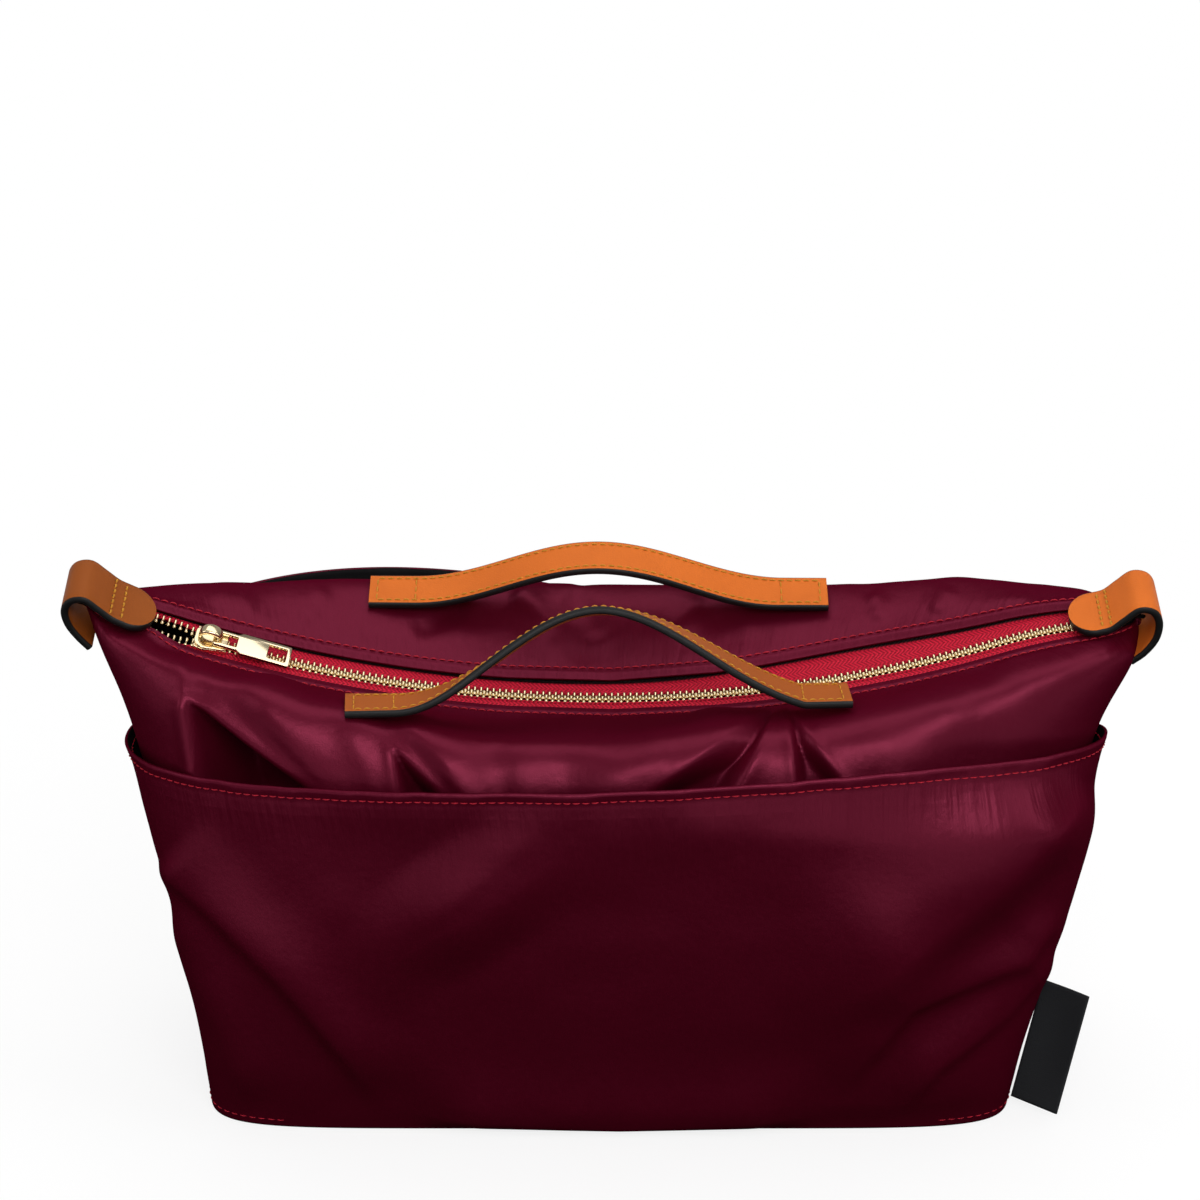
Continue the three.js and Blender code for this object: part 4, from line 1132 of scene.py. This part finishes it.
# The pull: a plate with a slim neck at its bar, a small window beside the bar and a large one at its end.
def addPull():
    start, neck, end = [pull["shift"] + x for x in (-pull["bar"], pull["neck"], pull["end"])]
    slim, wide = -pull["slim"], -pull["wide"]
    rim = [(start, slim), (neck - 0.4, slim), (neck + 0.7, wide), (end, wide)]
    rim = roundedOutline(rim + [(x, -y) for x, y in rim[::-1]], 0.8)
    first, last = pull["shift"] + pull["bar"], end - pull["largeGap"]
    length, half, corner = pull["small"]
    small = rectangle(first + pull["smallGap"], first + length, -half, half, corner)
    length, half, corner = pull["large"]
    large = rectangle(last - length, last, -half, half, corner)
    low = slider["inner"] / 2 + slider["plate"] + pull["rest"]
    piece = plate("pullTab", [rim, small, large], low, low + pull["thick"], pull["edge"], domedGold)
    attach(piece, "pull")
    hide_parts("pull_tab")


addSlider()
addCrown()
addPull()
print("slider made")


# Leather straps: two flat faces between half-round painted edges, whose bulge is a share of their thickness
def strapSection(wide, thick, edge=5, flat=6, bulge=0.55):
    half = thick / 2
    reach = wide / 2 - half * bulge
    arc = np.linspace(-math.pi / 2, math.pi / 2, edge + 2)
    right = np.stack([reach + half * bulge * np.cos(arc), half * np.sin(arc)], 1)
    across = np.linspace(reach, -reach, flat + 2)[1:-1]
    top = np.stack([across, np.full(flat, half)], 1)
    points = np.concatenate([right, top, -right, -top])
    painted = np.tile(np.repeat([1, 0], [edge + 1, flat + 1]), 2)
    return points, painted


# A strap: its section carried along a path, with painted edges and ends.
def strapMesh(name, path, side, up, measures, skin, widths=None, capKinds=(1, 1)):
    section, painted = strapSection(measures["wide"], measures["thick"])
    scale = np.ones((len(path), 2))
    if widths is not None:
        scale[:, 0] = widths / measures["wide"]
    rings = sweep(path, side, up, section, scale)
    faces = capped(len(path), len(section))
    kinds = np.concatenate([np.tile(painted, len(path) - 1), capKinds])
    strap = makeMesh(name, rings, faces, [skin, paintedEdge], faceMaterials=kinds)
    rounded = np.ones(len(faces), bool)
    rounded[-2:] = False  # the cut ends stay flat, so the two halves of a handle meet without a crease
    strap.data.polygons.foreach_set("use_smooth", rounded)
    strap.data.update()
    splitEdges(strap, 50)
    return strap


# Where a strap is sewn: the wall's point and normal at a place along and a depth, by halving both ranges.
def wallSeat(side, x, depth, halvings=24):
    ends = [[0.0, 1.0], [rowOf["ridge"], rowOf["fold"]]]
    spot = lambda share, row: wall(side, [row], np.array([share]))[0, 0]
    for step in range(halvings):
        share, row = [(low + high) / 2 for low, high in ends]
        point = spot(share, row)
        ends[0][0 if point[0] < x else 1] = share
        ends[1][0 if abs(point[1]) > depth else 1] = row
    share, row = ends[0][0], ends[1][0]
    point = spot(share, row)
    return point, unit((spot(share, row + 0.02) - point) * -side)


handles = {
    "front": {
        "side": -1, "span": 67, "leftDepth": 36.5, "rightDepth": 25, "rise": 29.5, "lean": 0.49, "cut": 42,
        "turns": (0.55, 2.2), "skin": paintedShadeLeather, "straight": 0.42, "roll": 0.25,
    },
    "back": {
        "side": 1, "span": 63.5, "leftDepth": 33, "rightDepth": 33, "rise": 16.5, "lean": -0.3, "cut": 36,
        "turns": (0.8, 0.8), "skin": leather, "straight": 0, "roll": 0,
    },
}
straps = {
    "wide": 15, "thick": 2.6, "patch": 16, "shift": -4.5, "clear": 0.6, "threadInset": 2.1, "endInset": 2.4,
    "rings": 179, "dropPower": 1.6, "turnPower": 1.4, "rollLift": 7, "bendHalf": 5,
}
strapStitch = {"pitch": 2.9, "share": 0.84, "radius": 0.27, "lift": 0.12}


# The strap's middle line: an arch over the line between its two seats, leaning as a plane. Its drop is a
# cosine, mixed at the right with reach^1.6, which leaves the patch at an angle.
def handlePath(handle, seats, x):
    half = handle["span"] + straps["patch"]
    reach = np.minimum(1, np.abs(x) / handle["span"])
    straight = np.where(x > 0, handle["straight"], 0)
    drop = (1 - np.cos(math.pi * reach)) / 2 * (1 - straight) + straight * reach ** straps["dropPower"]
    arch = handle["rise"] * (1 - drop)
    share = ((x + half) / (2 * half))[:, None]
    point = seats[0][0] * (1 - share) + seats[1][0] * share
    across = unit(seats[0][1] * (1 - share) + seats[1][1] * share)
    up = unit(np.cross([1.0, 0, 0], across))
    roll = (handle["roll"] * smooth(x / half + 0.5))[:, None]
    across, up = across * np.cos(roll) + up * np.sin(roll), up * np.cos(roll) - across * np.sin(roll)
    point = point + up * np.abs(roll) * straps["rollLift"]
    point = point + up * (straps["clear"] + straps["thick"] / 2)
    leanSine, leanCosine = math.sin(handle["lean"]), math.cos(handle["lean"])
    point = point + np.array([0, leanSine, leanCosine]) * arch[:, None]
    share = np.where(x < 0, *handle["turns"])
    early, late = smooth((1 - reach) / share.clip(0, 1)), (1 - reach ** straps["turnPower"]) ** share
    turned = np.where(share > 1, late, early)[:, None]
    across = unit(across * (1 - turned) + np.array([0, leanCosine, -leanSine]) * turned)
    forward = unit(np.gradient(point, axis=0))
    across = unit(across - forward * np.sum(across * forward, 1, keepdims=True))
    return point, across, np.cross(forward, across)


# A strap in two halves that meet at its middle, each with two long and two short rows of stitches.
def addHandle(name, handle):
    half = handle["span"] + straps["patch"]
    ends = ((-half, handle["leftDepth"]), (half, handle["rightDepth"]))
    seats = [wallSeat(handle["side"], straps["shift"] + x, depth) for x, depth in ends]
    body = name + "_handle"
    whole = np.linspace(-half, half, straps["rings"])
    wholePath = handlePath(handle, seats, whole)
    middle = straps["rings"] // 2
    reach = straps["wide"] / 2 - straps["threadInset"]
    parts = (("Left", slice(0, middle + 1), (1, 0)), ("Right", slice(middle, None), (0, 1)))
    for label, part, capKinds in parts:
        x = whole[part]
        path, across, up = [values[part] for values in wholePath]
        start = name + "Handle" + label
        strap = strapMesh(start, path, across, up, straps, handle["skin"], None, capKinds)
        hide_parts(name + "_handle_" + label.lower() + "_end", name + "_handle_grip")
        lift = up * (straps["thick"] / 2)
        inner = np.abs(x) < half - straps["endInset"]
        nearest = lambda place: int(np.argmin(np.abs(np.abs(x) - place)))
        rows = []
        for key, offset in zip("ab", (-reach, reach)):
            line = path + across * offset + lift
            rows.append(("Thread" + key, line[inner], up[inner]))
        for key, place in zip("ab", (half - straps["endInset"], half - straps["patch"])):
            at = nearest(place)
            line = path[at] + across[at] * np.linspace(-reach, reach, 20)[:, None] + lift[at]
            rows.append(("Box" + key, line, np.tile(up[at], (20, 1))))
        threads = [stitches(start + row[0], *row[1:], mustardThread, strapStitch, None) for row in rows]
        bend = (handle["cut"] + straps["bendHalf"], handle["cut"] - straps["bendHalf"])
        near, far = [path[nearest(place)] / metre for place in bend]
        for piece in [strap] + threads:
            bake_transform(piece)


for name, handle in handles.items():
    addHandle(name, handle)
print("handles made")


loops = {
    "wide": 20.5, "thick": 2.6, "tongue": 24, "tip": 9, "lift": 4.6, "rings": 90, "sewn": 60, "rowLift": 0.6,
    "tipShares": [0.004, 0.02, 0.06, 0.12, 0.2, 0.3, 0.42, 0.56, 0.72, 0.88],
    "places": [-15, -9.5, -4, 1.5, 5.2, 5.9, 3.2, -1.6, -6.4],
    "outShares": [0, 0, 0.2, 0.7, 1, 1, 0.8, 0.4, 0],
    "left": {
        "end": -1, "out": 0, "skin": paintedDeepShadeLeather,
        "heights": [0, 0.6, 2.6, 4.2, 1.6, -3, -8.2, -12.2, -15],
    },
    "right": {
        "end": 1, "out": 2.6, "skin": leather,
        "heights": [0, 1.0, 4.4, 8.0, 7.0, 2.6, -4.0, -9.0, -12.6],
    },
    "rows": [(-12.6, 8.4), (-7.8, 9.2)],
}
loopStitch = {"pitch": 2.6, "share": 0.8, "radius": 0.4, "lift": 0.16}
# Black rods a little wider than the thread and sunk under it: painted shade of the stitch grooves.
loopGrooveShade = {"pitch": 2.6, "share": 0.98, "radius": 0.46, "lift": -0.24}


# Centripetal spline through a list of points, in equal parameter steps.
def splineThrough(points, count):
    points = np.asarray(points, float)
    rows = np.linspace(0, len(points) - 1, count)
    return throughLevels(points[:, None, :], rows)[:, 0]


# An end loop: a round-tipped tongue over the zip's end, then a curl round the ear through chosen points.
def addLoop(name, loop):
    end = loop["end"]
    zipEnd = abs(zipEnds[0] if end < 0 else zipEnds[1])
    above = lambda place, high=0: zipPoint(end * (zipEnd + place), 0, loops["lift"] + high)
    tip = np.array(loops["tipShares"])
    start = above(loops["tip"] * tip - loops["tongue"])
    places = loops["places"] + loop["out"] * np.array(loops["outShares"])
    curl = splineThrough([above(place, high) for place, high in zip(places, loop["heights"])], loops["rings"])
    path = np.concatenate([start, curl])
    widths = loops["wide"] * np.append(np.sqrt(1 - (1 - tip) ** 2), np.ones(len(curl)))
    side = np.tile([0, end * math.cos(zipArc["roll"]), end * math.sin(zipArc["roll"])], (len(path), 1))
    up = np.cross(unit(np.gradient(path, axis=0)), side)
    strap = strapMesh(name + "EndLoop", path, side, up, loops, loop["skin"], widths)
    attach(strap, "bag")
    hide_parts(name + "_end_loop")
    for key, (place, reach) in zip("ab", loops["rows"]):
        at = int(np.argmin(np.linalg.norm(path[:loops["sewn"]] - above(place, loops["rowLift"]), axis=1)))
        line = path[at] + side[at] * np.linspace(-reach, reach, 30)[:, None] + up[at] * loops["thick"] / 2
        turned = np.tile(up[at], (30, 1))
        row = stitches(name + "LoopThread" + key, line, turned, mustardThread, loopStitch)
        # painted shade round each stitch, drawn as sunk black rods
        grooveShade = stitches(name + "LoopDent" + key, line, turned, paintedEdge, loopGrooveShade)


for name in ("left", "right"):
    addLoop(name, loops[name])
print("end loops made")


# Side tag: a ribbon folded on itself. Its section, a loop with a round fold at the free side, is carried
# upwards along a leaning line, bent as a product of sines and ribbed as a cosine.
tag = {
    "wide": 18, "high": 40.5, "thick": 1.2, "curl": 1.1, "curlTurn": 2.4, "rib": 0.05, "ribPitch": 0.9,
    "root": [139.78, -39.16, 4.5], "turn": 0.65, "rise": [0.2316, 0.26562, 0.93584],
    "columns": 22, "rows": 44,
}


def addTag():
    root, rise = np.array(tag["root"]), np.array(tag["rise"])
    outward = np.array([math.cos(tag["turn"]), -math.sin(tag["turn"]), 0])
    flat = unit(np.cross(rise, outward))
    arc = np.linspace(-math.pi / 2, math.pi / 2, 8)
    half = tag["thick"] / 2
    reach = tag["wide"] - half
    near = np.stack([np.linspace(0, reach, tag["columns"]), np.full(tag["columns"], -half)], 1)
    fold = np.stack([reach + half * np.cos(arc), half * np.sin(arc)], 1)[1:-1]
    section = np.concatenate([near, fold, near[::-1] * [1, -1]])
    across, side = section[:, 0], section[:, 1]
    up = np.linspace(0, tag["high"] / rise[2], tag["rows"])[:, None]
    bend = tag["curl"] * np.sin(across / tag["wide"] * math.pi) * np.sin(up / tag["high"] * tag["curlTurn"])
    ribs = tag["rib"] * np.cos(up / tag["ribPitch"] * math.pi) * (np.abs(side) > half * 0.9)
    offset = side + bend + ribs * np.sign(side)
    grid = root + rise * up[..., None] + outward * across[:, None] + flat * offset[..., None]
    piece = makeMesh("sideTag", grid, capped(len(up), len(section)), labelCloth)
    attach(piece, "tag")
    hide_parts("side_tag")


addTag()
print("tag made")

# Floor, light and camera
stage = {
    "floorNear": 0.9, "glow": 0.8, "whiteFrom": 0.22, "whiteTo": 0.45,
    "floorBounce": 0.02, "floorFar": 0.75, "bounceFrom": 0.26, "bounceTo": 0.62, "squeeze": 0.6,
    "sides": (-4000, 4000), "near": -3000, "back": 5000, "height": -0.2,
}


# The floor is plain and pale, and turns to the white of the background with the distance from the bag. What
# it throws back on the bag is dark nearby, a painted shadow round the bag, and pale further out.
def addStage():
    s = Shader(bpy.data.materials.new("paleFloor"))
    far = s.rise(s.lengthOf(s.place()), stage["whiteFrom"], stage["whiteTo"])
    scale = {0: s.place(), 1: (stage["squeeze"], 1, 1)}
    squeezed = s.add("ShaderNodeVectorMath", {"operation": "MULTIPLY"}, scale)
    spread = s.rise(s.lengthOf(squeezed), stage["bounceFrom"], stage["bounceTo"])
    # painted shadow: the floor throws back a dark colour near the bag
    bounce = s.mix(spread, (stage["floorBounce"],) * 3, (stage["floorFar"],) * 3)
    lit = s.add("ShaderNodeBsdfDiffuse", {}, {"Color": (stage["floorNear"],) * 3 + (1,)})
    dull = s.add("ShaderNodeBsdfDiffuse", {}, {"Color": bounce})
    white = s.add("ShaderNodeEmission", {}, {"Color": (1, 1, 1, 1), "Strength": 1.0})
    shown = s.join(stage["glow"] + (1 - stage["glow"]) * far, lit, white)
    surface = s.join(s.add("ShaderNodeLightPath", output="Is Camera Ray"), dull, shown)
    near = [(x, stage["near"], stage["height"]) for x in stage["sides"]]
    back = [(x, stage["back"], stage["height"]) for x in stage["sides"][::-1]]
    makeMesh("floor", near + back, [[0, 1, 2, 3]], s.output(surface))


# Each lamp: its place, the height above the middle that it looks at, its size, all in metres, and its power.
lamps = {
    "topBox": ((0.15, 0.35, 1.4), 0.1, (1.8, 1.0), 8.5),
    "leftBox": ((-1.2, -0.35, 0.75), 0.1, (0.35, 1.0), 2.5),
    "rightBox": ((1.1, -0.35, 0.85), 0.1, (0.4, 1.0), 3),
    "frontFill": ((0.25, -1.2, 1.1), 0.08, (1.3, 0.5), 11),
}


def addLamp(name, place, target, size, power):
    data = bpy.data.lights.new(name, "AREA")
    data.shape, data.size, data.size_y = "RECTANGLE", *size
    data.energy = power
    lamp = placed(name, data)
    lamp.location = place
    x, y, z = place[0], place[1], place[2] - target
    lamp.rotation_euler = (math.atan2(math.hypot(x, y), z), 0, math.atan2(x, -y))


room = {
    "ambient": 0.58, "level": 2.0, "sideFall": 1.7,
    "levels": ((0.2, 0.6), (0.27, 0.34), (0.42, 0.19), (0.6, 0.3), (0.8, 0.24), (0.87, 0.2), (0.93, 0.06)),
}


# A white room for the camera. Glossy surfaces see a dimmer one, whose level follows the direction's Y + Z
# and falls towards both sides with the square of X.
def addWorld():
    world = bpy.data.worlds.new("studio")
    bpy.context.scene.world = world
    s = Shader(world)
    seen, shiny = [s.add("ShaderNodeLightPath", output=kind) for kind in ("Is Camera Ray", "Is Glossy Ray")]
    direction = s.add("ShaderNodeTexCoord", output="Generated")
    aside, depth, height = [s.part(direction, axis) for axis in "XYZ"]
    stops = [(place, (level,) * 3) for place, level in room["levels"]]
    shade = s.add("ShaderNodeValToRGB", {"stops": stops}, {0: (depth + height) * 0.3 + 0.5})
    level = room["level"] - room["sideFall"] * aside * aside
    light = lambda colour, strength: s.add("ShaderNodeBackground", {}, {0: colour, 1: strength})
    glossy = s.join(shiny, light((1, 1, 1, 1), room["ambient"]), light(shade, level))
    s.output(s.join(seen, glossy, light((1, 1, 1, 1), 1.0)), "ShaderNodeOutputWorld")


addStage()
addWorld()
for name, (place, target, size, power) in lamps.items():
    addLamp(name, place, target, size, power)

sensor = 36
camera = placed("camera", bpy.data.cameras.new("camera"))
camera.data.sensor_width = sensor
camera.data.lens = sensor * view["focal"] / view["frame"]
camera.data.clip_start, camera.data.clip_end = 0.05, 30
camera.location = [v / metre for v in view["place"]]
camera.rotation_euler = (math.radians(view["tilt"]), 0, 0)
bpy.context.scene.camera = camera
bpy.context.scene.view_settings.view_transform = "Standard"
print("stage made")
